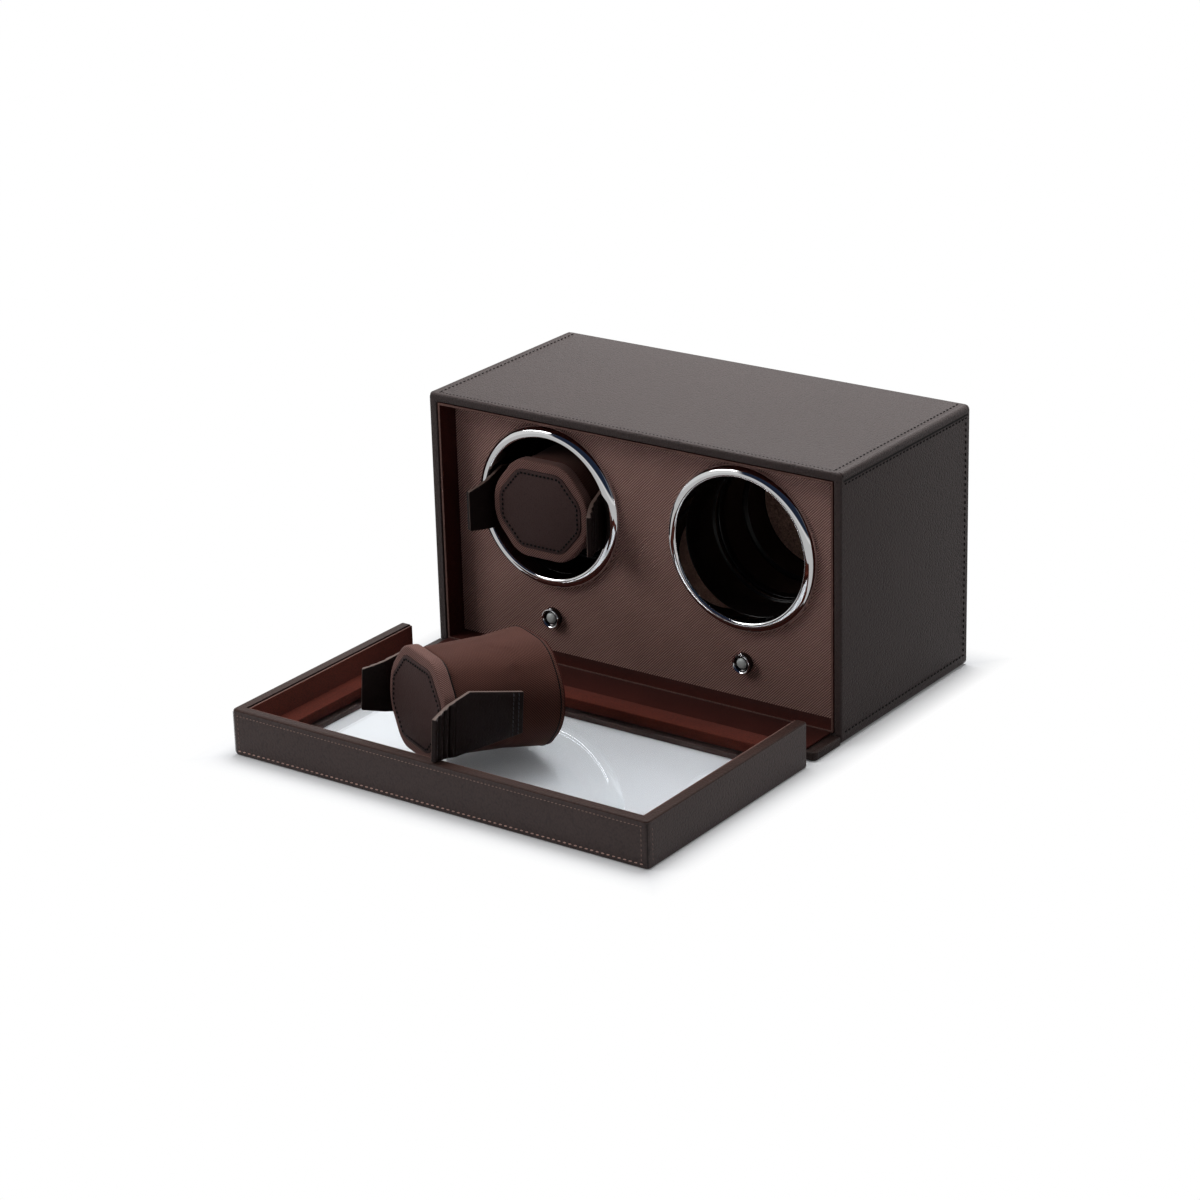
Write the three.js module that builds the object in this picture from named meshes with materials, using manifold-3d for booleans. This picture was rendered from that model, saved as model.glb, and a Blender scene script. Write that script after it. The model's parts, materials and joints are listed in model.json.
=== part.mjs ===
// Watch winder for two watches: a leather covered cabinet, a glazed front lid that
// hangs on a leather hinge and lies open on the table, two motor driven drums behind
// chromed rings, and two removable watch cuffs, one in its drum and one in the lid.
// Millimetres. X runs to the right, Y to the back, Z up. The origin is at the middle of
// the cabinet's underside. The pieces are drawn with y = 0 at the cabinet's front rim,
// and the whole model is then moved forward by half the cabinet's depth.

import * as THREE from 'three';
import { mergeVertices } from 'three/addons/utils/BufferGeometryUtils.js';
import Module from 'manifold-3d';

const wasm = await Module();
wasm.setup();

// Clearances
const seatGap = 0.3;          // between pieces that are glued, clamped or laid together
const overrun = 5;            // how far a cutting tool passes the face that it cuts
const roundingShares = [[0, 1], [0.3, 0.3], [1, 0]];   // a rounded edge: height, inset
const linerGap = 0.5;         // open groove between the leather walls and their liners

// Cabinet shell: board tube wrapped in leather
const cabinetWidth = 270;
const cabinetHeight = 153;
const cabinetDepth = 134;
const cabinetWall = 5;
const cabinetCornerRadius = 3;
const rimRound = 1.1;         // rounding of the front and rear rims
const backPanelThickness = 4.7;
const backPanelInset = 1;

// Sill: the base board carried forward under the closed lid
const sillDepth = 26.5;
const sillHeight = 5.2;
const sillPadThickness = 1;
const sillCornerRadius = 3;

// Hinge: a leather strip let in under the sill and the lid
const hingeAxisHeight = 0.8;
const hingeAxisLead = 0.3;    // axis in front of the sill's face
const hingeLeather = 0.8;
const hingeRebate = 1.1;
const hingeLap = 14.2;        // strip glued under the sill
const hingeLidLap = 10.5;     // strip glued under the lid
const hingeEndInset = 15;     // strip's ends from the cabinet's sides
const lidToSillGap = 7.2;

// Lid: leather wrapped tray of three walls round a glazed frame
const lidSideInset = 0.3;     // lid's sides inside the cabinet's
const lidTopRise = 2;         // closed lid stands this much above the cabinet
const lidWall = 5.8;
const lidPlate = 3;
const lidWallHeight = 26.2;
const lidRound = 1.2;
const lidCornerRadius = 3;
const lidLedgeSide = 13.4;    // ledge width along both side walls
const lidLedgeRear = 13.4;    // ledge width at the hinge side
const lidLedgeFront = 10.7;   // ledge width at the far wall, inside it
const glassThickness = 2.7;
const glassLap = 5.5;         // glass past the frame's window
const frameSetBack = 2;       // frame window inside the lined ledge
const ledgeHeight = 12.5;
const lidLiner = 1.2;
const lidLinerDrop = 0.6;     // liner rim below the wall's top

// Front liner and face panel
const liner = 1.4;
const linerRecess = 0.4;
const panelDepth = 15;        // rim to panel
const panelThickness = 6;

// Winding stations
const stationSpacingDrop = 7;    // stations' spacing, less than half the cabinet's width
const stationHeight = 93.5;
const ringOuterRadius = 47.5;
const ringBand = 6.5;
const ringInnerRadius = ringOuterRadius - ringBand;
const ringProud = 5;
const ringHoleInset = 3.2;
const ringHoleRadius = ringOuterRadius - ringHoleInset;
const ringLipShare = 0.16;    // the lip's width, of the ring's
const ringEdgeShare = 0.2;    // upright outer edge, of the ring's rise
const ringRollShares = [0.3, 0.42];   // rise of the lip's foot and of its crest
const sleeveWall = 2.1;
const sleeveFlangeLap = 2.5;
const sleeveFlangeRadius = ringOuterRadius + sleeveFlangeLap;
const sleeveFlange = 2.2;
const sleeveEndShare = 0.4;   // fixed sleeve's end, of the way from the panel to the drum's floor
const roundSteps = 32;
const smallSteps = 16;        // facets round small turned pieces

// Drum cup
const drumInset = 2.5;            // drum's bore inside the ring's
const drumRadius = ringInnerRadius - drumInset;
const drumWall = 2.1;
const drumFlare = 1.5;
const drumMouthRadius = drumRadius + drumFlare;
const drumMouthDepth = 5;
const drumRunGap = 2;         // sleeve to drum
const drumStopStep = 2.3;
const drumStopRadius = drumRadius - drumStopStep;    // seat of the cuff's flange
const drumFloor = 2.5;
const driveDepth = 34.8;          // drum's floor to the back panel
const drumHubRadius = 8;
const drumHubLength = 7.4;
const liningThickness = 1.2;

// Shoulder screw that carries the drum
const axleRadius = 3;
const axleHeadRadius = 5.5;
const axleHead = 1.4;
const axleNutRadius = 5;
const axleNut = 3;

// Gears
const gearModule = 1;
const drumTeeth = 48;
const pinionTeeth = 12;
const gearFace = 5;
const toothHeightShare = 0.7;     // addendum, of the module
const toothRootShare = 1.2;       // dedendum, of the module
const gearBacklash = 0.36;
const pressureAngle = 20 * Math.PI / 180;
const gearHoleCount = 5;
const gearHoleRadius = 4;
const gearHoleCircle = 15.5;

// Gear chassis, motors
const chassisPlate = 3;
const chassisPostRadius = 3.5;
const postSpreadX = 40;
const postSpreadZ = 44;
const chassisMargin = 4.4;
const chassisWindowShare = 0.6;   // place of the four windows, of the posts' spread
const motorShaftRadius = 1.6;
const motorShaftBore = 2;
const motorRadius = 13.5;
const motorLength = 19;
const motorBoreDepth = 7;
const motorGearboxShare = 0.4;    // the gearbox's length, of the motor's
const motorWaist = 1.2;           // the can is this much slimmer than the gearbox

// Knobs and switches
const knobHeight = 27.5;
const knobRadius = 5.9;
const knobProud = 7.6;
const knobShaftRadius = 2.5;
const knobHoleRadius = 3.1;
const knobNotch = 1;
const switchSide = 14;
const switchLength = 12.4;
const knobShaftReach = 9;         // into the switch
const knobDishShares = [          // radius and depth of the dished front and the rim
  [0, 0.16], [0.3, 0.06], [0.5, 0.2], [0.72, 0], [0.9, 0.05], [1, 0.2],
];
const knobFootShares = [[1, 0.15], [0.94, 0]];   // radius and rise of the rounded foot
const knobNotchShare = 0.55;      // inner end of the grip notch, of the radius
const knobSteps = 24;
const boardThickness = 1.6;
const boardPastStation = 20;
const boardHeight = 27;
const chipSize = 9;
const chipHeight = 1.5;
const chipPlaceShares = [-4, -1, 1, 4];   // of the chip's size

// Batteries
const cellRadius = 16.8;
const cellLength = 60;
const cellNub = 1.5;
const cellNubRadius = 4.6;
const cradleWall = 2;
const cradleFloor = 7.5;
const springLength = 6;
const springWire = 1;
const springRadius = 7;
const springTaperShare = 0.3;
const contactThickness = 0.8;
const doorThickness = 3.2;
const doorHalfWidth = 21;
const doorInset = 0.4;
const doorGrip = 8;
const doorCorner = 1;

// Mains adapter inlet
const inletPastStation = 32;
const inletZ = 30;
const inletBarrel = 4.5;
const inletFlange = 6;
const inletSocket = 3;
const inletPin = 0.9;
const inletDepth = 14;
const inletFlangeThickness = 1;
const inletFloor = 2;
const inletPinRecess = 2;

// Lid catch
const magnetLength = 20;
const magnetWidth = 5;
const magnetThickness = 2.8;
const magnetFromSide = 43;
const magnetFromRim = 2;

// Watch cuff
const capInset = 7;               // cap inside the drum's bore, across and up
const capInsetUp = 10.2;
const capHalfWidth = drumRadius - capInset;
const capHalfHeight = drumRadius - capInsetUp;
const capThickness = 8;
const capRound = 2;
const capFaceDepth = 5;           // cap face behind the cabinet's rim when seated
const chamferWidthShare = 0.48;   // octagon's corner cut, of its half width
const chamferHeightShare = 0.67;  // and of its half height
const cuffShort = 23.5;           // cuff is shorter than the depth to the drum's floor
const barrelDrop = 1.1;           // barrel inside the cap's outline, across and up
const barrelDropUp = 0.7;
const barrelHalfWidth = capHalfWidth - barrelDrop;
const barrelHalfHeight = capHalfHeight - barrelDropUp;
const barrelSpread = 0.6;         // the barrel widens this much under the wings
const barrelRound = 1.2;
const flangeInset = 2.1;          // flange inside the drum's bore, across and up
const flangeInsetUp = 8.3;
const flangeRunGap = 0.5;
const flangeHalfWidth = drumRadius - flangeInset;
const flangeHalfHeight = drumRadius - flangeInsetUp;
const flangeLimitRadius = drumRadius - flangeRunGap;
const flangeRound = 0.6;
const octagonEaseShare = 0.2;     // easing of the octagon's corners, of its sides
const pipingFromEnd = 3.4;
const pipingRound = 0.5;
const badgeInset = 5;
const badgeInsetUp = 5.8;
const badgeHalfWidth = capHalfWidth - badgeInset;
const badgeHalfHeight = capHalfHeight - badgeInsetUp;
const badgeThickness = 1.2;
const badgePocket = 0.8;

// Cuff wings
const wingRootLead = 25;          // wing's root before the cuff's end
const wingTip = -12;
const wingThickness = 2.6;
const wingStandOff = 0.1;         // beyond the seat gap, off the barrel
const wingCurl = 1.25;            // exponent of the outward curl at the tip
const wingSplay = 0.06;           // outward lean along the barrel, mm per mm
const wingTipSpread = 12.2;       // wing's tip beyond the barrel's side
const wingTipX = barrelHalfWidth + wingTipSpread;
const wingEdge = 0.5;
const wingRootHalfHeight = 11.5;
const wingTopY = 12;
const wingTopZ = 17.4;
const wingBottomY = 4;
const wingBottomZ = -17;
const wingTipTop = 7.5;
const wingTipBottom = -15.5;
const pleatCount = 4;
const pleatPitch = 2.6;
const pleatDepth = 0.5;

// Cuff that lies in the open lid
const looseX = -31;
const looseFromWall = 23.2;       // middle of the cap's face behind the lid's far wall
const looseYaw = -25 * Math.PI / 180;

// Colours
const finishes = {
  leather: { color: 0x2e2523, roughness: 0.5, metalness: 0 },
  lining: { color: 0x54291f, roughness: 0.8, metalness: 0 },
  twill: { color: 0x4b302a, roughness: 0.8, metalness: 0 },
  cuffCloth: { color: 0x5d3a31, roughness: 0.9, metalness: 0 },
  wing: { color: 0x231814, roughness: 0.5, metalness: 0 },
  badge: { color: 0x30201c, roughness: 0.5, metalness: 0 },
  chrome: { color: 0xd6d6d6, roughness: 0.08, metalness: 1 },
  blackPlastic: { color: 0x0c0b0b, roughness: 0.35, metalness: 0 },
  gearPlastic: { color: 0xdedbd0, roughness: 0.5, metalness: 0 },
  glass: { color: 0xf2f6f6, roughness: 0.03, metalness: 0 },
  steel: { color: 0x9a9a9a, roughness: 0.35, metalness: 1 },
  magnet: { color: 0x77777b, roughness: 0.3, metalness: 1 },
  cell: { color: 0x3a3a3c, roughness: 0.4, metalness: 0.3 },
  board: { color: 0x1d5a34, roughness: 0.6, metalness: 0 },
  wood: { color: 0x4a2e20, roughness: 0.7, metalness: 0 },
};

// Solid helpers
function solidOf(geometry) {
  const bare = geometry.clone();
  bare.deleteAttribute('normal');
  bare.deleteAttribute('uv');
  const merged = mergeVertices(bare, 1e-5);
  const solid = new wasm.Manifold(new wasm.Mesh({
    numProp: 3,
    vertProperties: new Float32Array(merged.attributes.position.array),
    triVerts: new Uint32Array(merged.index.array),
  }));
  return solid;
}

function geometryOf(solid) {
  const mesh = solid.getMesh();
  const geometry = new THREE.BufferGeometry();
  geometry.setAttribute('position', new THREE.BufferAttribute(mesh.vertProperties, 3));
  geometry.setIndex(new THREE.BufferAttribute(mesh.triVerts, 1));
  return geometry;
}

function cut(geometry, ...tools) {
  return geometryOf(tools.reduce((solid, tool) => solid.subtract(solidOf(tool)), solidOf(geometry)));
}

function join(geometry, ...others) {
  return geometryOf(others.reduce((solid, other) => solid.add(solidOf(other)), solidOf(geometry)));
}

// Turns a surface so that its faces point outwards
function outward(geometry) {
  const p = geometry.attributes.position;
  const index = geometry.index;
  const corner = (i) => new THREE.Vector3().fromBufferAttribute(p, index.getX(i));
  let volume = 0;
  for (let i = 0; i < index.count; i += 3) {
    volume += corner(i).dot(corner(i + 1).cross(corner(i + 2)));
  }
  if (volume < 0) {
    for (let i = 0; i < index.count; i += 3) {
      const first = index.getX(i);
      index.setX(i, index.getX(i + 1));
      index.setX(i + 1, first);
    }
  }
  return geometry;
}

function box(x0, x1, y0, y1, z0, z1) {
  const geometry = new THREE.BoxGeometry(x1 - x0, y1 - y0, z1 - z0);
  return geometry.translate((x0 + x1) / 2, (y0 + y1) / 2, (z0 + z1) / 2);
}

// Box that is centred on x = 0
function wideBox(halfWidth, y0, y1, z0, z1) {
  return box(-halfWidth, halfWidth, y0, y1, z0, z1);
}

// Outline of a rounded rectangle, anticlockwise from the right hand side
function roundedOutline(halfWidth, halfHeight, radius, steps = 4) {
  const points = [];
  const corners = [[1, -1], [1, 1], [-1, 1], [-1, -1]];
  corners.forEach(([sx, sy], quarter) => {
    for (let i = 0; i <= steps; i += 1) {
      const angle = (quarter - 1 + i / steps) * Math.PI / 2;
      points.push(new THREE.Vector2(
        sx * (halfWidth - radius) + radius * Math.cos(angle),
        sy * (halfHeight - radius) + radius * Math.sin(angle),
      ));
    }
  });
  return points;
}

// Skin over loops of equally many points: open ends are capped, a ring is closed on itself
function skin(loops, ring = false) {
  const count = loops[0].length;
  const positions = loops.flat().flatMap((p) => [p.x, p.y, p.z]);
  const index = [];
  const bands = ring ? loops.length : loops.length - 1;
  for (let i = 0; i < bands; i += 1) {
    const a = i * count;
    const b = ((i + 1) % loops.length) * count;
    for (let j = 0; j < count; j += 1) {
      const k = (j + 1) % count;
      index.push(a + j, a + k, b + k, a + j, b + k, b + j);
    }
  }
  if (!ring) {
    [loops[0], loops[loops.length - 1]].forEach((loop, side) => {
      const base = side ? (loops.length - 1) * count : 0;
      const middle = loop.reduce((sum, p) => sum.add(p), new THREE.Vector3()).divideScalar(count);
      const centre = positions.length / 3;
      positions.push(middle.x, middle.y, middle.z);
      for (let j = 0; j < count; j += 1) {
        const k = (j + 1) % count;
        index.push(...(side ? [base + j, base + k, centre] : [base + k, base + j, centre]));
      }
    });
  }
  const geometry = new THREE.BufferGeometry();
  geometry.setAttribute('position', new THREE.Float32BufferAttribute(positions, 3));
  geometry.setIndex(index);
  return outward(geometry);
}

// Loop in a plane across Y, from an outline in x and z
function loopAt(outline, y, z = 0) {
  return outline.map((p) => new THREE.Vector3(p.x, y, p.y + z));
}

// Revolve about the Y axis; the profile gives radius and y
function turned(profile, steps = roundSteps, close = true) {
  const points = profile.map(([r, y]) => new THREE.Vector2(r, y));
  if (close) points.push(points[0].clone());
  const geometry = new THREE.LatheGeometry(points, steps);
  geometry.deleteAttribute('normal');
  geometry.deleteAttribute('uv');
  return outward(mergeVertices(geometry, 1e-5));
}

// Extrusion along Y of an outline in x and z
function plateAlongY(outline, y0, y1, holes = []) {
  const shape = new THREE.Shape(outline);
  shape.holes = holes.map((hole) => new THREE.Path(hole));
  const geometry = new THREE.ExtrudeGeometry(shape, { depth: y1 - y0, bevelEnabled: false });
  return geometry.rotateX(Math.PI / 2).translate(0, y1, 0);
}

// Extrusion along Z of an outline in x and y
function plateAlongZ(outline, z0, z1) {
  const shape = new THREE.Shape(outline);
  const geometry = new THREE.ExtrudeGeometry(shape, { depth: z1 - z0, bevelEnabled: false });
  return geometry.translate(0, 0, z0);
}

function circleOutline(radius, x, y, steps) {
  return Array.from({ length: steps }, (_, i) => new THREE.Vector2(
    x + radius * Math.cos(2 * Math.PI * i / steps),
    y + radius * Math.sin(2 * Math.PI * i / steps),
  ));
}

function rodAlongY(radius, y0, y1, x = 0, z = 0, steps = smallSteps) {
  return plateAlongY(circleOutline(radius, x, z, steps), y0, y1);
}

const model = new THREE.Group();

function piece(name, finish, geometry, parent = model) {
  const mesh = new THREE.Mesh(geometry, new THREE.MeshStandardMaterial(finishes[finish]));
  mesh.name = name;
  parent.add(mesh);
  return mesh;
}

// Planes and faces that several pieces share
const cabinetHalf = cabinetWidth / 2;
const innerHalf = cabinetHalf - cabinetWall;
const innerTop = cabinetHeight - cabinetWall;
const midHeight = cabinetHeight / 2;
const panelFront = panelDepth;
const panelBack = panelDepth + panelThickness;
const stationX = (cabinetHalf - stationSpacingDrop) / 2;
const boardHalfWidth = stationX + boardPastStation;
const inletX = stationX + inletPastStation;
const magnetX = cabinetHalf - magnetFromSide;
const backPanelFront = cabinetDepth - backPanelInset - backPanelThickness;
const backPanelRear = cabinetDepth - backPanelInset;
const drumFloorFront = backPanelFront - driveDepth;
const sleeveEnd = panelBack + sleeveEndShare * (drumFloorFront - panelBack);
const cuffLength = drumFloorFront - cuffShort;
const wingRoot = cuffLength - wingRootLead;
const hingeAxisY = -sillDepth - hingeAxisLead;
const lidRear = -sillDepth - lidToSillGap;
const lidFront = hingeAxisY - (cabinetHeight + lidTopRise - hingeAxisHeight);
const lidHalf = cabinetHalf - lidSideInset;
const hingeHalfWidth = cabinetHalf - hingeEndInset;
const lidInnerHalf = lidHalf - lidWall;
const lidInnerFront = lidFront + lidWall;
const looseY = lidInnerFront + looseFromWall;
const sides = [['left', -1], ['right', 1]];

// Cabinet shell, a tube of board with rounded long edges and rims
function cabinetShell() {
  const outer = (inset) => roundedOutline(
    cabinetHalf - inset, midHeight - inset, cabinetCornerRadius - inset,
  );
  const inner = roundedOutline(innerHalf, midHeight - cabinetWall, seatGap);
  const loops = [
    ...roundingShares.map(([y, inset]) => loopAt(outer(inset * rimRound), y * rimRound, midHeight)),
    ...roundingShares.toReversed().map(([y, inset]) => (
      loopAt(outer(inset * rimRound), cabinetDepth - y * rimRound, midHeight))),
    loopAt(inner, cabinetDepth, midHeight),
    loopAt(inner, 0, midHeight),
  ];
  const pockets = sides.map(([, s]) => magnetBlock(s, seatGap));
  return cut(skin(loops, true), ...pockets);
}

// Magnet bar let into the underside of the shell's top wall, hidden by the liner
function magnetBlock(side, grow) {
  const z0 = grow ? innerTop - overrun : innerTop + seatGap;
  return box(
    side * magnetX - magnetLength / 2 - grow, side * magnetX + magnetLength / 2 + grow,
    magnetFromRim - grow, magnetFromRim + magnetWidth + grow,
    z0, innerTop + seatGap + magnetThickness + grow,
  );
}

// Sill board and its lined pad
function sillBoard() {
  const halfDepth = (sillDepth - seatGap) / 2;
  const outline = roundedOutline(cabinetHalf, halfDepth, sillCornerRadius);
  const board = plateAlongZ(outline, 0, sillHeight).translate(0, -seatGap - halfDepth, 0);
  const rebate = wideBox(
    hingeHalfWidth + seatGap, -sillDepth - overrun, -sillDepth + hingeLap + seatGap,
    -overrun, hingeRebate,
  );
  return cut(board, rebate);
}

function sillPad() {
  const front = -sillDepth + sillCornerRadius / 2;
  const halfDepth = (-seatGap - front) / 2;
  const outline = roundedOutline(lidInnerHalf - seatGap, halfDepth, seatGap);
  return plateAlongZ(outline, sillHeight + seatGap, sillHeight + seatGap + sillPadThickness)
    .translate(0, front + halfDepth, 0);
}

// Liner of the recess in front of the face panel
function frontLiner() {
  const outerHalf = innerHalf - linerGap;
  const outerHeight = midHeight - cabinetWall - linerGap;
  const outer = roundedOutline(outerHalf, outerHeight, seatGap);
  const inner = roundedOutline(outerHalf - liner, outerHeight - liner, seatGap);
  const rear = panelFront - seatGap;
  return skin([
    loopAt(outer, linerRecess, midHeight), loopAt(outer, rear, midHeight),
    loopAt(inner, rear, midHeight), loopAt(inner, linerRecess, midHeight),
  ], true);
}

// Face panel with the two drum holes and the two knob holes
function facePanel() {
  const outline = roundedOutline(innerHalf - seatGap, midHeight - cabinetWall - seatGap, seatGap);
  const holes = sides.flatMap(([, s]) => [
    circleOutline(ringHoleRadius, s * stationX, stationHeight - midHeight, roundSteps),
    circleOutline(knobHoleRadius, s * stationX, knobHeight - midHeight, smallSteps),
  ]);
  return plateAlongY(outline, panelFront, panelBack, holes).translate(0, 0, midHeight);
}

// Chromed ring: a domed crown that rolls into a thin lip round the hole
function chromeRing() {
  const back = panelFront - seatGap;
  const crown = panelFront - ringProud;
  const lip = ringInnerRadius + ringLipShare * (ringOuterRadius - ringInnerRadius);
  const crownRadius = (ringOuterRadius + lip) / 2;
  const edge = back - ringEdgeShare * ringProud;
  const [foot, crest] = ringRollShares.map((share) => edge - share * ringProud);
  const profile = [[ringOuterRadius, back], [ringOuterRadius, edge]];
  const domeSteps = 5;
  for (let i = 1; i <= domeSteps; i += 1) {
    const angle = Math.PI * i / (domeSteps + 1);
    profile.push([
      crownRadius + (ringOuterRadius - crownRadius) * Math.cos(angle),
      edge + (crown - edge) * Math.sin(angle),
    ]);
  }
  profile.push(
    [lip, foot], [(lip + ringInnerRadius) / 2, crest], [ringInnerRadius, foot],
    [ringInnerRadius, panelBack - seatGap], [ringHoleRadius - seatGap, panelBack - seatGap],
    [ringHoleRadius - seatGap, back],
  );
  return turned(profile);
}

// Fixed sleeve behind the panel, with a flange and a small inward lip at its end
function fixedSleeve() {
  const front = panelBack + seatGap;
  const inner = ringInnerRadius + seatGap;
  const lip = sleeveFlange;
  return turned([
    [inner, front], [sleeveFlangeRadius, front], [sleeveFlangeRadius, front + sleeveFlange],
    [inner + sleeveWall, front + sleeveFlange], [inner + sleeveWall, sleeveEnd],
    [drumMouthRadius, sleeveEnd], [drumMouthRadius, sleeveEnd - lip], [inner, sleeveEnd - lip],
  ]);
}

// Drum cup: flared mouth, seat step for the cuff, floor, and the hub that turns on the axle
const drumFront = sleeveEnd + drumRunGap;
const cuffEnd = capFaceDepth + cuffLength;
const drumFloorRear = drumFloorFront + drumFloor;
const hubRear = drumFloorRear + drumHubLength;
const headPocket = axleHead + 2 * seatGap;

function drumCup() {
  const boreRadius = axleRadius + seatGap;
  const pocketRadius = axleHeadRadius + seatGap;
  return turned([
    [drumMouthRadius, drumFront], [drumRadius + drumWall, drumFront],
    [drumRadius + drumWall, drumFloorRear], [drumHubRadius, drumFloorRear],
    [drumHubRadius, hubRear], [boreRadius, hubRear],
    [boreRadius, drumFloorFront + headPocket], [pocketRadius, drumFloorFront + headPocket],
    [pocketRadius, drumFloorFront], [drumStopRadius, drumFloorFront],
    [drumStopRadius, cuffEnd + seatGap], [drumRadius, cuffEnd + seatGap],
    [drumRadius, drumFront + drumMouthDepth],
  ]);
}

function drumLining() {
  const rear = drumFloorFront - seatGap;
  const radius = drumStopRadius - seatGap;
  const edge = liningThickness / 3;
  return turned([
    [0, rear], [radius, rear], [radius, rear - liningThickness + edge],
    [radius - edge, rear - liningThickness], [0, rear - liningThickness],
  ], roundSteps, false);
}

// Outline of a spur gear with straight sided teeth drawn through the involute's points
function gearOutline(teeth) {
  const pitch = gearModule * teeth / 2;
  const tip = pitch + toothHeightShare * gearModule;
  const root = pitch - toothRootShare * gearModule;
  const base = pitch * Math.cos(pressureAngle);
  const involute = (r) => {
    const angle = Math.acos(Math.min(1, base / r));
    return Math.tan(angle) - angle;
  };
  const half = Math.PI / (2 * teeth) - gearBacklash / (4 * pitch) + involute(pitch);
  const stations = teeth > 2 * pinionTeeth ? [root, tip] : [root, base, pitch, tip];
  const outline = [];
  for (let tooth = 0; tooth < teeth; tooth += 1) {
    const middle = 2 * Math.PI * tooth / teeth;
    const flank = stations.map((r) => [r, half - involute(Math.max(r, base))]);
    flank.forEach(([r, a]) => outline.push([r, middle - a]));
    flank.toReversed().forEach(([r, a]) => outline.push([r, middle + a]));
  }
  return outline.map(([r, a]) => new THREE.Vector2(r * Math.cos(a), r * Math.sin(a)));
}

const gearFront = drumFloorRear + seatGap;
const gearRear = gearFront + gearFace;
const chassisFront = hubRear + 2 * seatGap;
const chassisRear = chassisFront + chassisPlate;
const gearCentres = gearModule * (drumTeeth + pinionTeeth) / 2;

function drumGear() {
  const holes = [circleOutline(drumHubRadius + seatGap, 0, 0, smallSteps)];
  for (let i = 0; i < gearHoleCount; i += 1) {
    const angle = 2 * Math.PI * i / gearHoleCount;
    holes.push(circleOutline(
      gearHoleRadius, gearHoleCircle * Math.cos(angle), gearHoleCircle * Math.sin(angle),
      smallSteps / 2,
    ));
  }
  return plateAlongY(gearOutline(drumTeeth), gearFront, gearRear, holes);
}

// Pinion on its motor shaft; a tooth gap faces the drum gear above it
function pinion() {
  const wheel = plateAlongY(gearOutline(pinionTeeth), gearFront, gearRear);
  wheel.rotateY(Math.PI / 2 + Math.PI / pinionTeeth);
  const shaft = rodAlongY(
    motorShaftRadius, gearFront, chassisRear + motorBoreDepth, 0, 0, smallSteps / 2,
  );
  return join(wheel, shaft);
}

// Shoulder screw and its nut
function drumAxle() {
  const headFront = drumFloorFront + seatGap;
  const end = chassisRear + seatGap + axleNut;
  const screw = turned([
    [0, headFront], [axleHeadRadius, headFront], [axleHeadRadius, headFront + axleHead],
    [axleRadius, headFront + axleHead], [axleRadius, end], [0, end],
  ], smallSteps, false);
  return join(screw, rodAlongY(axleNutRadius, chassisRear + seatGap, end, 0, 0, 6));
}

// Chassis: plate behind the gears on four posts that stand on the face panel
function gearChassis() {
  const outline = roundedOutline(
    postSpreadX + chassisMargin, postSpreadZ + chassisMargin, chassisMargin, 2,
  );
  const holes = [
    circleOutline(axleRadius + seatGap, 0, 0, smallSteps),
    circleOutline(motorShaftBore, 0, -gearCentres, smallSteps / 2),
  ];
  const windowHalf = postSpreadX / 4;
  const windowPlace = postSpreadX * chassisWindowShare;
  [[-1, 1], [1, 1], [-1, -1], [1, -1]].forEach(([sx, sz]) => {
    holes.push(roundedOutline(windowHalf, windowHalf, windowHalf / 2, 1).map((p) => (
      new THREE.Vector2(p.x + sx * windowPlace, p.y + sz * windowPlace))));
  });
  const plate = plateAlongY(outline, chassisFront, chassisRear, holes);
  const posts = [[-1, 1], [1, 1], [-1, -1], [1, -1]].map(([sx, sz]) => rodAlongY(
    chassisPostRadius, panelBack + seatGap, chassisFront + seatGap,
    sx * postSpreadX, sz * postSpreadZ, smallSteps / 2,
  ));
  return join(plate, ...posts);
}

// Gearmotor: a can with a gearbox face and a blind bore for its shaft
function gearMotor() {
  const front = chassisRear + seatGap;
  const waist = motorRadius - motorWaist;
  const gearboxRear = front + motorLength * motorGearboxShare;
  return turned([
    [motorShaftBore, front], [motorRadius, front], [motorRadius, gearboxRear],
    [waist, gearboxRear + motorWaist], [waist, front + motorLength],
    [0, front + motorLength], [0, front + motorBoreDepth], [motorShaftBore, front + motorBoreDepth],
  ], smallSteps);
}

// Knob: dished chrome head with a grip notch, on its switch shaft
function knob() {
  const front = panelFront - knobProud;
  const back = panelFront - seatGap;
  const end = panelBack + seatGap + knobShaftReach;
  const head = turned([
    ...knobDishShares.map(([r, depth]) => [r * knobRadius, front + depth * knobProud]),
    ...knobFootShares.map(([r, rise]) => [r * knobRadius, back - rise * knobProud]),
    [knobShaftRadius, back], [knobShaftRadius, end], [0, end],
  ], knobSteps, false);
  const notch = box(
    -knobNotch / 2, knobNotch / 2, front - overrun, front + knobProud / 3,
    knobNotchShare * knobRadius, knobRadius + overrun,
  );
  return cut(head, notch);
}

function rotarySwitch() {
  const front = panelBack + seatGap;
  const side = switchSide / 2;
  const body = plateAlongY(
    roundedOutline(side, side, side / 5), front, front + switchLength,
  );
  const bore = rodAlongY(knobShaftRadius + seatGap, front - overrun, front + knobShaftReach + seatGap);
  return cut(body, bore);
}

// Control board behind both switches, with its chips
function controlBoard() {
  const front = panelBack + switchLength + 2 * seatGap;
  const rear = front + boardThickness;
  const outline = roundedOutline(boardHalfWidth, boardHeight / 2, 1.5 * boardThickness);
  const board = plateAlongY(outline, front, rear).translate(0, 0, knobHeight);
  const chips = chipPlaceShares.map((place) => box(
    place * chipSize - chipSize / 2, place * chipSize + chipSize / 2,
    rear - seatGap, rear + chipHeight,
    knobHeight - chipSize / 2, knobHeight + chipSize / 2,
  ));
  return join(board, ...chips);
}

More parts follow.
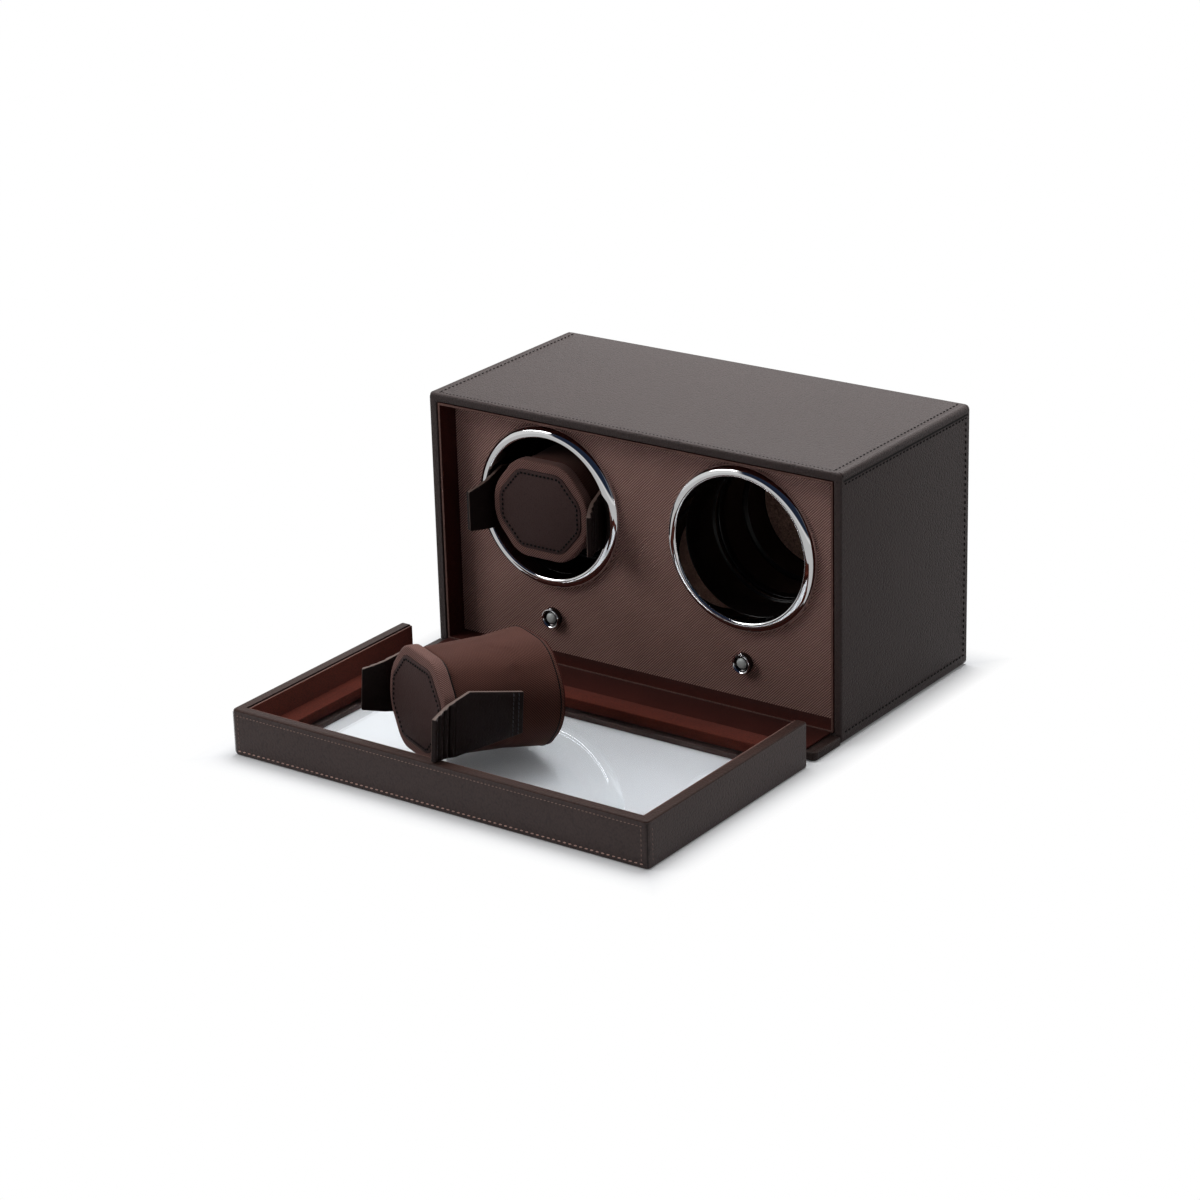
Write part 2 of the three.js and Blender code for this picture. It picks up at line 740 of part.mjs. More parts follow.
// Battery bay: two cells stand end to end in a cradle behind the door
const bayFloor = cradleFloor + cradleWall;
const lowerCell = bayFloor + seatGap + springLength + seatGap;
const upperCell = lowerCell + cellLength + cellNub + seatGap;
const contactBottom = upperCell + cellLength + cellNub + seatGap;
const bayTop = contactBottom + contactThickness + seatGap;
const cellY = backPanelFront - cellRadius - 2 * seatGap;
const cradleHalf = cellRadius + seatGap + cradleWall;

function batteryCell() {
  const edge = cellRadius / 12;
  const profile = [
    [0, 0], [cellRadius - edge, 0], [cellRadius, edge], [cellRadius, cellLength - edge],
    [cellRadius - edge, cellLength], [cellNubRadius, cellLength],
    [cellNubRadius, cellLength + cellNub], [0, cellLength + cellNub],
  ];
  return turned(profile, smallSteps, false).rotateX(Math.PI / 2);
}

function batteryCradle() {
  const front = cellY - cellRadius - seatGap - cradleWall;
  const rear = backPanelFront - seatGap;
  const block = wideBox(cradleHalf, front, rear, cradleFloor, bayTop + cradleWall);
  const hollow = wideBox(
    cradleHalf - cradleWall, front + cradleWall, rear + overrun, bayFloor, bayTop,
  );
  return cut(block, hollow);
}

// Contact spring under the lower cell, wound on a short plate
function contactSpring() {
  const turns = 3;
  const stepsPerTurn = 8;
  const sideCount = 5;
  const climb = springLength - 2 * springWire;
  const bottom = bayFloor + seatGap;
  const loops = [];
  for (let i = 0; i <= turns * stepsPerTurn; i += 1) {
    const share = i / (turns * stepsPerTurn);
    const angle = 2 * Math.PI * turns * share;
    const radius = springRadius * (1 - springTaperShare * share);
    const z = bottom + springWire + climb * share;
    const loop = [];
    for (let j = 0; j < sideCount; j += 1) {
      const around = 2 * Math.PI * j / sideCount;
      const r = radius + springWire / 2 * Math.cos(around);
      loop.push(new THREE.Vector3(
        r * Math.cos(angle), cellY + r * Math.sin(angle), z + springWire / 2 * Math.sin(around),
      ));
    }
    loops.push(loop);
  }
  const plateHalf = springRadius + springWire;
  const plate = box(
    -plateHalf, plateHalf, cellY - plateHalf, cellY + plateHalf, bottom, bottom + springWire,
  );
  return join(plate, skin(loops));
}

function topContact() {
  const half = cellNubRadius + cradleWall;
  return box(
    -half, half, cellY - half, cellY + half, contactBottom, contactBottom + contactThickness,
  );
}

// Back panel with the battery window and the inlet hole
const doorBottom = bayFloor + seatGap;
const doorTop = bayTop;
const doorRear = backPanelRear - doorInset;

function backPanel() {
  const outline = roundedOutline(innerHalf - seatGap, midHeight - cabinetWall - seatGap, seatGap);
  const windowHalf = doorHalfWidth + seatGap;
  const windowZ0 = doorBottom - seatGap - midHeight;
  const windowZ1 = doorTop + seatGap - midHeight;
  const holes = [
    [[-windowHalf, windowZ0], [windowHalf, windowZ0], [windowHalf, windowZ1], [-windowHalf, windowZ1]]
      .map(([x, z]) => new THREE.Vector2(x, z)),
    circleOutline(inletBarrel + seatGap, inletX, inletZ - midHeight, smallSteps),
  ];
  return plateAlongY(outline, backPanelFront, backPanelRear, holes).translate(0, 0, midHeight);
}

// Battery door with a finger scoop at its free edge
function batteryDoor() {
  const front = doorRear - doorThickness;
  const outline = roundedOutline(doorHalfWidth, (doorTop - doorBottom) / 2, doorCorner);
  const panel = plateAlongY(outline, front, doorRear).translate(0, 0, (doorTop + doorBottom) / 2);
  const scoop = rodAlongY(
    doorGrip, doorRear - doorThickness / 2, doorRear + overrun, 0, doorTop + doorGrip / 3,
  );
  return cut(panel, scoop);
}

function powerInlet() {
  const face = backPanelRear + seatGap;
  const flangeRear = face + inletFlangeThickness;
  const pinRear = flangeRear - inletPinRecess;
  const front = face - inletDepth;
  const floor = front + inletFloor;
  return turned([
    [0, front], [inletBarrel, front], [inletBarrel, face], [inletFlange, face],
    [inletFlange, flangeRear], [inletSocket, flangeRear], [inletSocket, floor],
    [inletPin, floor], [inletPin, pinRear], [0, pinRear],
  ], smallSteps, false);
}

// Lid tray: outer block with rounded edges, hollowed and glazed
const sightHalf = lidInnerHalf - lidLedgeSide;
const sightFront = lidInnerFront + lidLedgeFront;
const sightRear = lidRear - lidLedgeRear;
const windowHalf = sightHalf - frameSetBack;
const windowFront = sightFront + frameSetBack;
const windowRear = sightRear - frameSetBack;
const glassHalf = windowHalf + glassLap;
const glassFront = windowFront - glassLap;
const glassRear = windowRear + glassLap;
const glassBottom = lidPlate + seatGap;
const glassTop = glassBottom + glassThickness;

function lidFrame() {
  const midY = (lidFront + lidRear) / 2;
  const halfDepth = (lidRear - lidFront) / 2;
  const loop = (inset, z) => roundedOutline(
    lidHalf - inset, halfDepth - inset, lidCornerRadius - inset,
  ).map((p) => new THREE.Vector3(p.x, p.y + midY, z));
  const block = skin([
    ...roundingShares.map(([z, inset]) => loop(inset * lidRound, z * lidRound)),
    ...roundingShares.toReversed().map(([z, inset]) => (
      loop(inset * lidRound, lidWallHeight - z * lidRound))),
  ]);
  const hollow = wideBox(
    lidInnerHalf, lidInnerFront, lidRear + overrun, lidPlate, lidWallHeight + overrun,
  );
  const window = wideBox(windowHalf, windowFront, windowRear, -overrun, lidPlate + overrun);
  const rebate = wideBox(
    hingeHalfWidth + seatGap, lidRear - hingeLidLap - seatGap, lidRear + overrun,
    -overrun, hingeRebate,
  );
  const pockets = sides.map(([, s]) => catchPlate(s, seatGap));
  return cut(block, hollow, window, rebate, ...pockets);
}

// Steel plate in the lid's far wall that the cabinet's magnet holds
function catchPlate(side, grow) {
  const top = lidWallHeight - magnetFromRim;
  return box(
    side * magnetX - magnetLength / 2 - grow, side * magnetX + magnetLength / 2 + grow,
    lidInnerFront - seatGap - magnetThickness - grow, lidInnerFront + (grow ? overrun : -seatGap),
    top - magnetWidth - grow, top + grow,
  );
}

function lidGlass() {
  return wideBox(glassHalf, glassFront, glassRear, glassBottom, glassTop);
}

// Wooden frame that holds the glass down and carries the lined ledge
const ledgeUnderside = ledgeHeight - lidLiner;

function glassRetainer() {
  const half = lidInnerHalf - linerGap;
  const front = lidInnerFront + linerGap;
  const rear = lidRear - linerGap;
  const open = sightHalf + lidLiner + seatGap;
  const openFront = sightFront - lidLiner - seatGap;
  const openRear = sightRear + lidLiner + seatGap;
  const block = wideBox(half, front, rear, glassBottom, ledgeUnderside - seatGap);
  const through = wideBox(open, openFront, openRear, -overrun, ledgeHeight + overrun);
  const rabbet = wideBox(
    glassHalf + seatGap, glassFront - seatGap, glassRear + seatGap, -overrun, glassTop + seatGap,
  );
  return cut(block, through, rabbet);
}

// Lining of the lid: three walls, the ledge, and the lip down to the glass
function lidLining() {
  const half = lidInnerHalf - linerGap;
  const front = lidInnerFront + linerGap;
  const rear = lidRear - linerGap;
  const top = lidWallHeight - lidLinerDrop;
  const block = wideBox(half, front, rear, glassTop + seatGap, top);
  const above = wideBox(
    half - lidLiner, front + lidLiner, rear + overrun, ledgeHeight, top + overrun,
  );
  const below = wideBox(
    half + overrun, front - overrun, rear + overrun, -overrun, ledgeUnderside,
  );
  const lip = wideBox(
    sightHalf + lidLiner, sightFront - lidLiner, sightRear + lidLiner,
    glassTop + seatGap, ledgeHeight,
  );
  const sight = wideBox(sightHalf, sightFront, sightRear, -overrun, top + overrun);
  return cut(join(cut(block, above, below), lip), sight);
}

// Leather hinge strip, in the part under the sill and the part under the lid
const hingeZ0 = (hingeRebate - hingeLeather) / 2;

function hingeStrip(y0, y1) {
  return wideBox(hingeHalfWidth, y0, y1, hingeZ0, hingeZ0 + hingeLeather);
}

// Octagon with its corners eased
function octagonOutline(halfWidth, halfHeight, limit = Infinity) {
  const cutX = halfWidth * chamferWidthShare;
  const cutZ = halfHeight * chamferHeightShare;
  const quarter = [
    [halfWidth, halfHeight - cutZ], [halfWidth - cutX, halfHeight],
  ];
  const corners = [
    ...quarter, ...quarter.toReversed().map(([x, z]) => [-x, z]),
    ...quarter.map(([x, z]) => [-x, -z]), ...quarter.toReversed().map(([x, z]) => [x, -z]),
  ];
  const points = [];
  corners.forEach(([x, z], i) => {
    const before = corners[(i + 7) % 8];
    const after = corners[(i + 1) % 8];
    const corner = new THREE.Vector2(x, z);
    const [a, b] = [before, after].map(([nextX, nextZ]) => (
      corner.clone().lerp(new THREE.Vector2(nextX, nextZ), octagonEaseShare)));
    const bend = new THREE.QuadraticBezierCurve(a, corner, b);
    points.push(...bend.getPoints(2));
  });
  return points.map((p) => (p.length() > limit ? p.multiplyScalar(limit / p.length()) : p));
}

function cuffCap() {
  const ring = (inset, y) => loopAt(octagonOutline(capHalfWidth - inset, capHalfHeight - inset), y);
  const body = skin([
    ...roundingShares.map(([y, inset]) => ring(inset * capRound, y * capRound)),
    ring(0, capThickness - capRound / 2), ring(capRound / 4, capThickness),
  ]);
  const pocket = skin([
    loopAt(octagonOutline(badgeHalfWidth + seatGap, badgeHalfHeight + seatGap), -overrun),
    loopAt(octagonOutline(badgeHalfWidth + seatGap, badgeHalfHeight + seatGap), badgePocket),
  ]);
  return cut(body, pocket);
}

function cuffBadge() {
  const back = badgePocket - seatGap;
  const front = back - badgeThickness;
  const edge = badgeThickness / 2;
  const ring = (inset, y) => loopAt(
    octagonOutline(badgeHalfWidth - inset, badgeHalfHeight - inset), y,
  );
  return skin([ring(edge, front), ring(0, front + edge), ring(0, back)]);
}

// Barrel that the bracelet closes round: it flares from the cap to a flange with piping
function cuffBarrel() {
  const front = capThickness + seatGap;
  const flange = cuffLength - pipingFromEnd;
  const stepY = wingRoot + seatGap;
  const heightAt = (y) => THREE.MathUtils.mapLinear(
    y, front, flange, barrelHalfHeight, flangeHalfHeight,
  );
  const widthAt = (y) => (y <= stepY
    ? THREE.MathUtils.mapLinear(y, front, stepY, barrelHalfWidth, barrelHalfWidth + barrelSpread)
    : THREE.MathUtils.mapLinear(
      y, stepY, flange, barrelHalfWidth + barrelSpread, flangeHalfWidth,
    ));
  const ring = (y, grow = 0) => loopAt(octagonOutline(
    widthAt(y) + grow, heightAt(Math.min(y, flange)) + grow, flangeLimitRadius,
  ), y);
  const flangeRing = (inset, y) => loopAt(octagonOutline(
    flangeHalfWidth - inset, flangeHalfHeight - inset, flangeLimitRadius,
  ), y);
  return skin([
    ring(front, -barrelRound), ring(front + barrelRound), ring((front + stepY) / 2),
    ring(stepY), ring((stepY + flange) / 2), ring(flange - pipingRound),
    ring(flange, pipingRound), ring(flange + pipingRound),
    flangeRing(0, cuffLength - flangeRound), flangeRing(flangeRound, cuffLength),
  ]);
}

// Wing: a padded leather tab that lies along the barrel and curls outwards at its tip
const wingInnerRoot = barrelHalfWidth + barrelSpread + seatGap + wingStandOff;

function wingBottomAt(y) {
  return y < wingBottomY
    ? THREE.MathUtils.mapLinear(y, wingTip, wingBottomY, wingTipBottom, wingBottomZ)
    : THREE.MathUtils.mapLinear(y, wingBottomY, wingRoot, wingBottomZ, -wingRootHalfHeight);
}

function cuffWing(side) {
  const bendY = 0;
  const bendX = wingInnerRoot + (wingRoot - bendY) * wingSplay;
  const innerX = (y) => {
    if (y >= bendY) return wingInnerRoot + (wingRoot - y) * wingSplay;
    const share = (bendY - y) / (bendY - wingTip);
    return bendX + (wingTipX - wingThickness - bendX) * share ** wingCurl;
  };
  const topZ = (y) => (y < wingTopY
    ? THREE.MathUtils.mapLinear(y, wingTip, wingTopY, wingTipTop, wingTopZ)
    : THREE.MathUtils.mapLinear(y, wingTopY, wingRoot, wingTopZ, wingRootHalfHeight));
  const pleatEnd = wingTip + pleatCount * pleatPitch;
  const rib = (y) => (y < pleatEnd
    ? pleatDepth * Math.sin(Math.PI * (y - wingTip) / pleatPitch) ** 2
    : 0);
  const stations = [];
  for (let i = 0; i <= pleatCount * 3; i += 1) stations.push(wingTip + i * pleatPitch / 3);
  stations.push(wingBottomY, wingTopY, (wingTopY + wingRoot) / 2, wingRoot - 2 * wingEdge, wingRoot);
  const loops = stations.map((y, i) => {
    const end = i === 0 || i === stations.length - 1 ? wingEdge : 0;
    const inner = innerX(y) + end;
    const outer = innerX(y) + wingThickness - end + rib(y);
    const top = topZ(y) - end;
    const bottom = wingBottomAt(y) + end;
    return [
      [outer, bottom + wingEdge], [outer, top - wingEdge], [outer - wingEdge, top],
      [inner + wingEdge, top], [inner, top - wingEdge], [inner, bottom + wingEdge],
      [inner + wingEdge, bottom], [outer - wingEdge, bottom],
    ].map(([x, z]) => new THREE.Vector3(side * x, y, z));
  });
  return skin(loops);
}

function cuff(name, parent) {
  piece(`cuff_cap_${name}`, 'cuffCloth', cuffCap(), parent);
  piece(`cuff_badge_${name}`, 'badge', cuffBadge(), parent);
  piece(`cuff_barrel_${name}`, 'cuffCloth', cuffBarrel(), parent);
  sides.forEach(([side, s]) => {
    piece(`cuff_wing_${side}_${name}`, 'wing', cuffWing(s), parent);
  });
}

// Lying cuff: its piping stands on the glass and one wing on the lid's far wall
function looseCuffPlace() {
  const pipingY = cuffLength - pipingFromEnd;
  const axisAtPiping = glassTop + seatGap + flangeHalfHeight + pipingRound;
  const wingX = wingInnerRoot + wingRoot * wingSplay + wingThickness;
  const wallY = (lidInnerFront - looseY - wingX * Math.sin(looseYaw)) / Math.cos(looseYaw);
  const axisAtWall = lidWallHeight + seatGap - wingBottomAt(wallY);
  const pitch = -Math.atan2(axisAtWall - axisAtPiping, pipingY - wallY);
  const rise = axisAtPiping - pipingY * Math.sin(pitch);
  return { pitch, rise };
}

// Assembly: cabinet
piece('cabinet_shell', 'leather', cabinetShell());
piece('back_panel', 'leather', backPanel());
piece('sill_board', 'leather', sillBoard());
piece('sill_pad', 'lining', sillPad());
piece('front_liner', 'lining', frontLiner());
piece('face_panel', 'twill', facePanel());
piece('control_board', 'board', controlBoard());
piece('battery_cradle', 'blackPlastic', batteryCradle());
piece('battery_spring', 'steel', contactSpring());
piece('battery_contact', 'steel', topContact());
piece('battery_cell_lower', 'cell', batteryCell()).position.set(0, cellY, lowerCell);
piece('battery_cell_upper', 'cell', batteryCell()).position.set(0, cellY, upperCell);
piece('battery_door', 'blackPlastic', batteryDoor());
piece('power_inlet', 'blackPlastic', powerInlet()).position.set(inletX, 0, inletZ);

// Assembly: one winding station on each side
sides.forEach(([side, s]) => {
  const station = new THREE.Group();
  station.position.set(s * stationX, 0, stationHeight);
  model.add(station);
  piece(`chrome_ring_${side}`, 'chrome', chromeRing(), station);
  piece(`fixed_sleeve_${side}`, 'blackPlastic', fixedSleeve(), station);
  piece(`drum_cup_${side}`, 'blackPlastic', drumCup(), station);
  piece(`drum_lining_${side}`, 'lining', drumLining(), station);
  piece(`drum_gear_${side}`, 'gearPlastic', drumGear(), station);
  piece(`drum_axle_${side}`, 'steel', drumAxle(), station);
  piece(`gear_chassis_${side}`, 'blackPlastic', gearChassis(), station);
  piece(`pinion_${side}`, 'gearPlastic', pinion(), station).position.z = -gearCentres;
  piece(`gear_motor_${side}`, 'steel', gearMotor(), station).position.z = -gearCentres;
  piece(`knob_${side}`, 'chrome', knob()).position.set(s * stationX, 0, knobHeight);
  piece(`rotary_switch_${side}`, 'blackPlastic', rotarySwitch())
    .position.set(s * stationX, 0, knobHeight);
  piece(`catch_magnet_${side}`, 'magnet', magnetBlock(s, 0));
});

// Assembly: lid, open on the table in front of the cabinet
piece('lid_frame', 'leather', lidFrame());
piece('lid_glass', 'glass', lidGlass());
piece('glass_retainer', 'wood', glassRetainer());
piece('lid_lining', 'lining', lidLining());
piece('hinge_strip_sill', 'leather', hingeStrip(-sillDepth, -sillDepth + hingeLap));
piece('hinge_strip_lid', 'leather', hingeStrip(lidRear - hingeLidLap, -sillDepth - 2 * seatGap));
sides.forEach(([side, s]) => piece(`catch_plate_${side}`, 'steel', catchPlate(s, 0)));

// Assembly: cuffs
const seated = new THREE.Group();
seated.position.set(-stationX, capFaceDepth, stationHeight);
model.add(seated);
cuff('seated', seated);

const loose = new THREE.Group();
const { pitch, rise } = looseCuffPlace();
loose.position.set(looseX, looseY, rise);
loose.rotation.set(pitch, 0, looseYaw, 'ZXY');
model.add(loose);
cuff('loose', loose);

model.position.y = -cabinetDepth / 2;

export default model;
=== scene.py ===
"""Watch winder for two watches: leather covered cabinet, open glazed lid, two winding
drums behind chromed rings, and two watch cuffs. Metres; the frame's own axes."""

import json
import math

import bmesh
import bpy
from mathutils import Matrix, Vector


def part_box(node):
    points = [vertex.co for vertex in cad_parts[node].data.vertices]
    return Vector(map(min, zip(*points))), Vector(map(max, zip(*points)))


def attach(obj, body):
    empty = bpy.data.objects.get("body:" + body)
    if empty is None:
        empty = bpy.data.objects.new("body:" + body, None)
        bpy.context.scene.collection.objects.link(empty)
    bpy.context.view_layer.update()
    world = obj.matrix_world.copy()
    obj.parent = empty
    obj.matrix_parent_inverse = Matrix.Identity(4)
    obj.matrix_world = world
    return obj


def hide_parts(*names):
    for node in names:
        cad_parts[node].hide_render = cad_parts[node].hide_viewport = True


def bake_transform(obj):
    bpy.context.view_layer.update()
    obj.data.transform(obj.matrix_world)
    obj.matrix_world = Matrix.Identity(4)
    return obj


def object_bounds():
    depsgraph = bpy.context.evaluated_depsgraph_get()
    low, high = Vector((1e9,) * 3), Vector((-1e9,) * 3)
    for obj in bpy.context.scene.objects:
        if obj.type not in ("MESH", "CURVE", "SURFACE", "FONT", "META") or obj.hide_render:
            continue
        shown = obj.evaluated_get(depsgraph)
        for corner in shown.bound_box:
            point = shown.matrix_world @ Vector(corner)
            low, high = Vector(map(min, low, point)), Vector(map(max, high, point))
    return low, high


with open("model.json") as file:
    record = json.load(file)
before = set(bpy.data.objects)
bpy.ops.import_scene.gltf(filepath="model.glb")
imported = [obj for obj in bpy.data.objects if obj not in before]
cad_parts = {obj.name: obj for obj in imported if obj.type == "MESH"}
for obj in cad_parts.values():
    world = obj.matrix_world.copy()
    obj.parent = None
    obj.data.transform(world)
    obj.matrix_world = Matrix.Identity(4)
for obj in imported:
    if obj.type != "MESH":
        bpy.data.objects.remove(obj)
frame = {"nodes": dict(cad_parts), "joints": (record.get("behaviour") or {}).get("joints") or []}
cad_low, cad_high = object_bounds()
scene = bpy.context.scene
scene.view_settings.view_transform = "Standard"

# Camera: on the front right, a little above the cabinet's top, with a long lens
camera_azimuth = math.radians(35.8552)
camera_elevation = math.radians(21.3085)
camera_roll = math.radians(-1.6132)
camera_distance = 1.925561
camera_target = Vector((-0.020643, -0.067472, 0.051556))
focal_pixels = 3492.9
photo_pixels = 1200

camera_data = bpy.data.cameras.new("camera")
camera_data.sensor_fit = "HORIZONTAL"
camera_data.sensor_width = 36
camera_data.lens = camera_data.sensor_width * focal_pixels / photo_pixels
camera = bpy.data.objects.new("camera", camera_data)
scene.collection.objects.link(camera)
backward = Vector((
    math.sin(camera_azimuth) * math.cos(camera_elevation),
    -math.cos(camera_azimuth) * math.cos(camera_elevation),
    math.sin(camera_elevation),
))
level_right = Vector((math.cos(camera_azimuth), math.sin(camera_azimuth), 0))
level_up = backward.cross(level_right)
right = level_right * math.cos(camera_roll) + level_up * math.sin(camera_roll)
up = level_up * math.cos(camera_roll) - level_right * math.sin(camera_roll)
camera.matrix_world = (
    Matrix.Translation(camera_target + backward * camera_distance)
    @ Matrix((right, up, backward)).transposed().to_4x4()
)
scene.camera = camera

# Studio: a white table under soft lamps, in a white room. Away from the object the camera,
# the chrome and the glass see the table as plain white; near it they see its shadow.
def add_shape(name, operator, **settings):
    """Adds one of Blender's primitives while nothing else is selected."""
    bpy.ops.object.select_all(action="DESELECT")
    operator(**settings)
    piece = bpy.context.object
    piece.name = piece.data.name = name
    return piece


def feed(tree, node, values):
    """Sets inputs of a node: another node's output is linked, anything else is a constant."""
    for label, value in values.items():
        if isinstance(value, bpy.types.NodeSocket):
            tree.links.new(value, node.inputs[label])
        else:
            node.inputs[label].default_value = value
    return node


def add_node(tree, kind, values, **settings):
    node = tree.nodes.new("ShaderNode" + kind)
    for key, value in settings.items():
        setattr(node, key, value)
    return feed(tree, node, values)


def math_node(tree, operation, first, second, **settings):
    node = add_node(tree, "Math", {0: first, 1: second}, operation=operation, **settings)
    return node.outputs["Value"]


def map_range(tree, value, start, end, low=0.0, high=1.0):
    return add_node(tree, "MapRange", {
        "Value": value, "From Min": start, "From Max": end, "To Min": low, "To Max": high,
    }).outputs["Result"]


def colour_mix(tree, share, first, second):
    node = add_node(tree, "Mix", {}, data_type="RGBA")
    return feed(tree, node, {"Factor": share, 6: first, 7: second}).outputs[2]


def place_of(tree, source="Object"):
    return tree.nodes.new("ShaderNodeTexCoord").outputs[source]


def looked_at(tree):
    """1 for what the camera, a reflection or a view through glass sees, 0 for lighting."""
    path = tree.nodes.new("ShaderNodeLightPath").outputs
    seen = math_node(tree, "MAXIMUM", path["Is Camera Ray"], path["Is Glossy Ray"])
    return math_node(tree, "MAXIMUM", seen, path["Is Transmission Ray"])


def in_mirror(tree):
    """1 for a reflection, 0 for a view through glass and all else."""
    path = tree.nodes.new("ShaderNodeLightPath").outputs
    return math_node(tree, "SUBTRACT", path["Is Glossy Ray"], path["Is Transmission Ray"], use_clamp=True)


def new_material(name):
    material = bpy.data.materials.new(name)
    material.use_nodes = True
    return material, material.node_tree, material.node_tree.nodes["Principled BSDF"]


floor = add_shape("studio_floor", bpy.ops.mesh.primitive_plane_add, size=12, location=(0, 0, -0.0002))
floor_finish, tree, shader = new_material("studio_floor")
feed(tree, shader, {"Base Color": (0.7, 0.71, 0.73, 1), "Roughness": 0.9, "Specular IOR Level": 0})
footprint = add_node(tree, "Mapping", {
    "Vector": place_of(tree),
    "Location": (0, (cad_low.y + cad_high.y) / 2, 0),
    "Scale": ((cad_high.x - cad_low.x) / 2, (cad_high.y - cad_low.y) / 2, 1),
}, vector_type="TEXTURE").outputs["Vector"]
spread = add_node(tree, "VectorMath", {0: footprint}, operation="ABSOLUTE").outputs["Vector"]
parts = add_node(tree, "SeparateXYZ", {"Vector": spread}).outputs
away = map_range(tree, math_node(tree, "MAXIMUM", parts["X"], parts["Y"]), 0.98, 1.14, 0.05)
white = add_node(tree, "Emission", {"Strength": map_range(tree, in_mirror(tree), 0.0, 1.0, 1.0, 0.5)})
mix = add_node(tree, "MixShader", {
    "Fac": math_node(tree, "MULTIPLY", away, looked_at(tree)),
    1: shader.outputs["BSDF"], 2: white.outputs["Emission"],
})
feed(tree, tree.nodes["Material Output"], {"Surface": mix.outputs["Shader"]})
floor.data.materials.append(floor_finish)

# The room: even light from all sides, and three soft lamps on the left, above and on the
# right. Reflections see the room dark in front and to the right above the table, and
# brighter towards its back.
world = bpy.data.worlds.new("studio")
scene.world = world
world.use_nodes = True
tree = world.node_tree
tree.nodes.clear()
walls = add_node(tree, "Background", {"Color": (0.97, 0.98, 1, 1), "Strength": 0.2})
parts = add_node(tree, "SeparateXYZ", {"Vector": place_of(tree, "Generated")}).outputs
dark = 1.0
for axis, start, end in (("X", -0.53, -0.47), ("Y", 0.4, 0.3), ("Z", 0.06, 0.14)):
    dark = math_node(tree, "MULTIPLY", dark, map_range(tree, parts[axis], start, end))
backdrop = map_range(tree, parts["Y"], 0.2, 0.8, 0.66, 1.4)
room = colour_mix(tree, dark, backdrop, (0.012, 0.018, 0.036, 1))
seen = add_node(tree, "Background", {"Color": colour_mix(tree, in_mirror(tree), (1, 1, 1, 1), room)})
mix = add_node(tree, "MixShader", {
    "Fac": looked_at(tree), 1: walls.outputs["Background"], 2: seen.outputs["Background"],
})
add_node(tree, "OutputWorld", {"Surface": mix.outputs["Shader"]})


def studio_lamp(name, place, aim, size, power):
    data = bpy.data.lights.new(name, "AREA")
    data.shape = "RECTANGLE"
    data.size, data.size_y = size
    data.energy = power
    lamp = bpy.data.objects.new(name, data)
    scene.collection.objects.link(lamp)
    lamp.location = place
    lamp.rotation_euler = (Vector(aim) - Vector(place)).to_track_quat("-Z", "Y").to_euler()


studio_lamp("lamp_left", (-1.1, -1.0, 1.15), (0, -0.05, 0.08), (0.8, 0.8), 12.5)
studio_lamp("lamp_top", (-0.1, 0.2, 1.05), (-0.02, 0.0, 0.12), (0.8, 0.6), 14)
studio_lamp("lamp_right", (1.5, -0.5, 0.8), (0, 0, 0.08), (0.7, 1.1), 0.25)

# Cabinet: a tube of 5 mm board wrapped in pebbled leather, its long corners rounded and
# both rims turned over. Side panels are separate pieces of leather, edge stitched, and
# the top's leather is rolled over them along a seam.
def box_of(solid):
    """Low and high corner of a solid's box."""
    return [Vector(corner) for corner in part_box(solid)]


shell_low, shell_high = box_of("cabinet_shell")
shell_wall = 0.005
shell_corner = 0.003
shell_rim = 0.0012
stitch_pitch = 0.0034
stitch_slant = 7
sides = (("left", -1), ("right", 1))


def settle():
    """Writes the active piece's place, turn and scale into its mesh."""
    bpy.ops.object.transform_apply(location=True, rotation=True, scale=True)


def only(piece):
    bpy.ops.object.select_all(action="DESELECT")
    piece.select_set(True)
    bpy.context.view_layer.objects.active = piece


def block(name, low, high):
    low, high = Vector(low), Vector(high)
    piece = add_shape(
        name, bpy.ops.mesh.primitive_cube_add, size=1, location=(low + high) / 2, scale=high - low)
    settle()
    return piece


def edit(piece, kind, test, operator, **settings):
    """Runs an edit-mode operator on those faces or edges of a piece that pass a test."""
    only(piece)
    bpy.ops.object.mode_set(mode="EDIT")
    bpy.ops.mesh.select_mode(type={"faces": "FACE", "edges": "EDGE"}[kind])
    bpy.ops.mesh.select_all(action="DESELECT")
    mesh = bmesh.from_edit_mesh(piece.data)
    for part in getattr(mesh, kind):
        if test(part):
            part.select_set(True)
    mesh.select_flush_mode()
    bmesh.update_edit_mesh(piece.data)
    operator(**settings)
    bpy.ops.object.mode_set(mode="OBJECT")


def along(edge, axis):
    """True for an edge that runs along an axis."""
    run = edge.verts[1].co - edge.verts[0].co
    return abs(run[axis]) > 0.99 * run.length


def sharp(edge):
    return len(edge.link_faces) == 2 and edge.calc_face_angle() > math.radians(60)


def round_edges(piece, width, segments, test):
    edit(piece, "edges", test, bpy.ops.mesh.bevel, offset=width, segments=segments, affect="EDGES")


def apply_modifier(piece, kind, **settings):
    only(piece)
    modifier = piece.modifiers.new(kind.title(), kind)
    for key, value in settings.items():
        setattr(modifier, key, value)
    bpy.ops.object.modifier_apply(modifier=modifier.name)


def cut_away(piece, *tools):
    for tool in tools:
        apply_modifier(piece, "BOOLEAN", operation="DIFFERENCE", solver="EXACT", object=tool)
        bpy.data.objects.remove(tool)


def soften(piece, width, segments=3, angle=50):
    apply_modifier(
        piece, "BEVEL", width=width, segments=segments, limit_method="ANGLE",
        angle_limit=math.radians(angle), harden_normals=False,
    )


def smooth(piece, angle=40):
    only(piece)
    bpy.ops.object.shade_smooth_by_angle(angle=math.radians(angle))


def finish_piece(piece, material, body, slot, *nodes):
    piece.data.materials.clear()
    piece.data.materials.append(material)
    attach(piece, body)
    if nodes:
        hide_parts(*nodes)


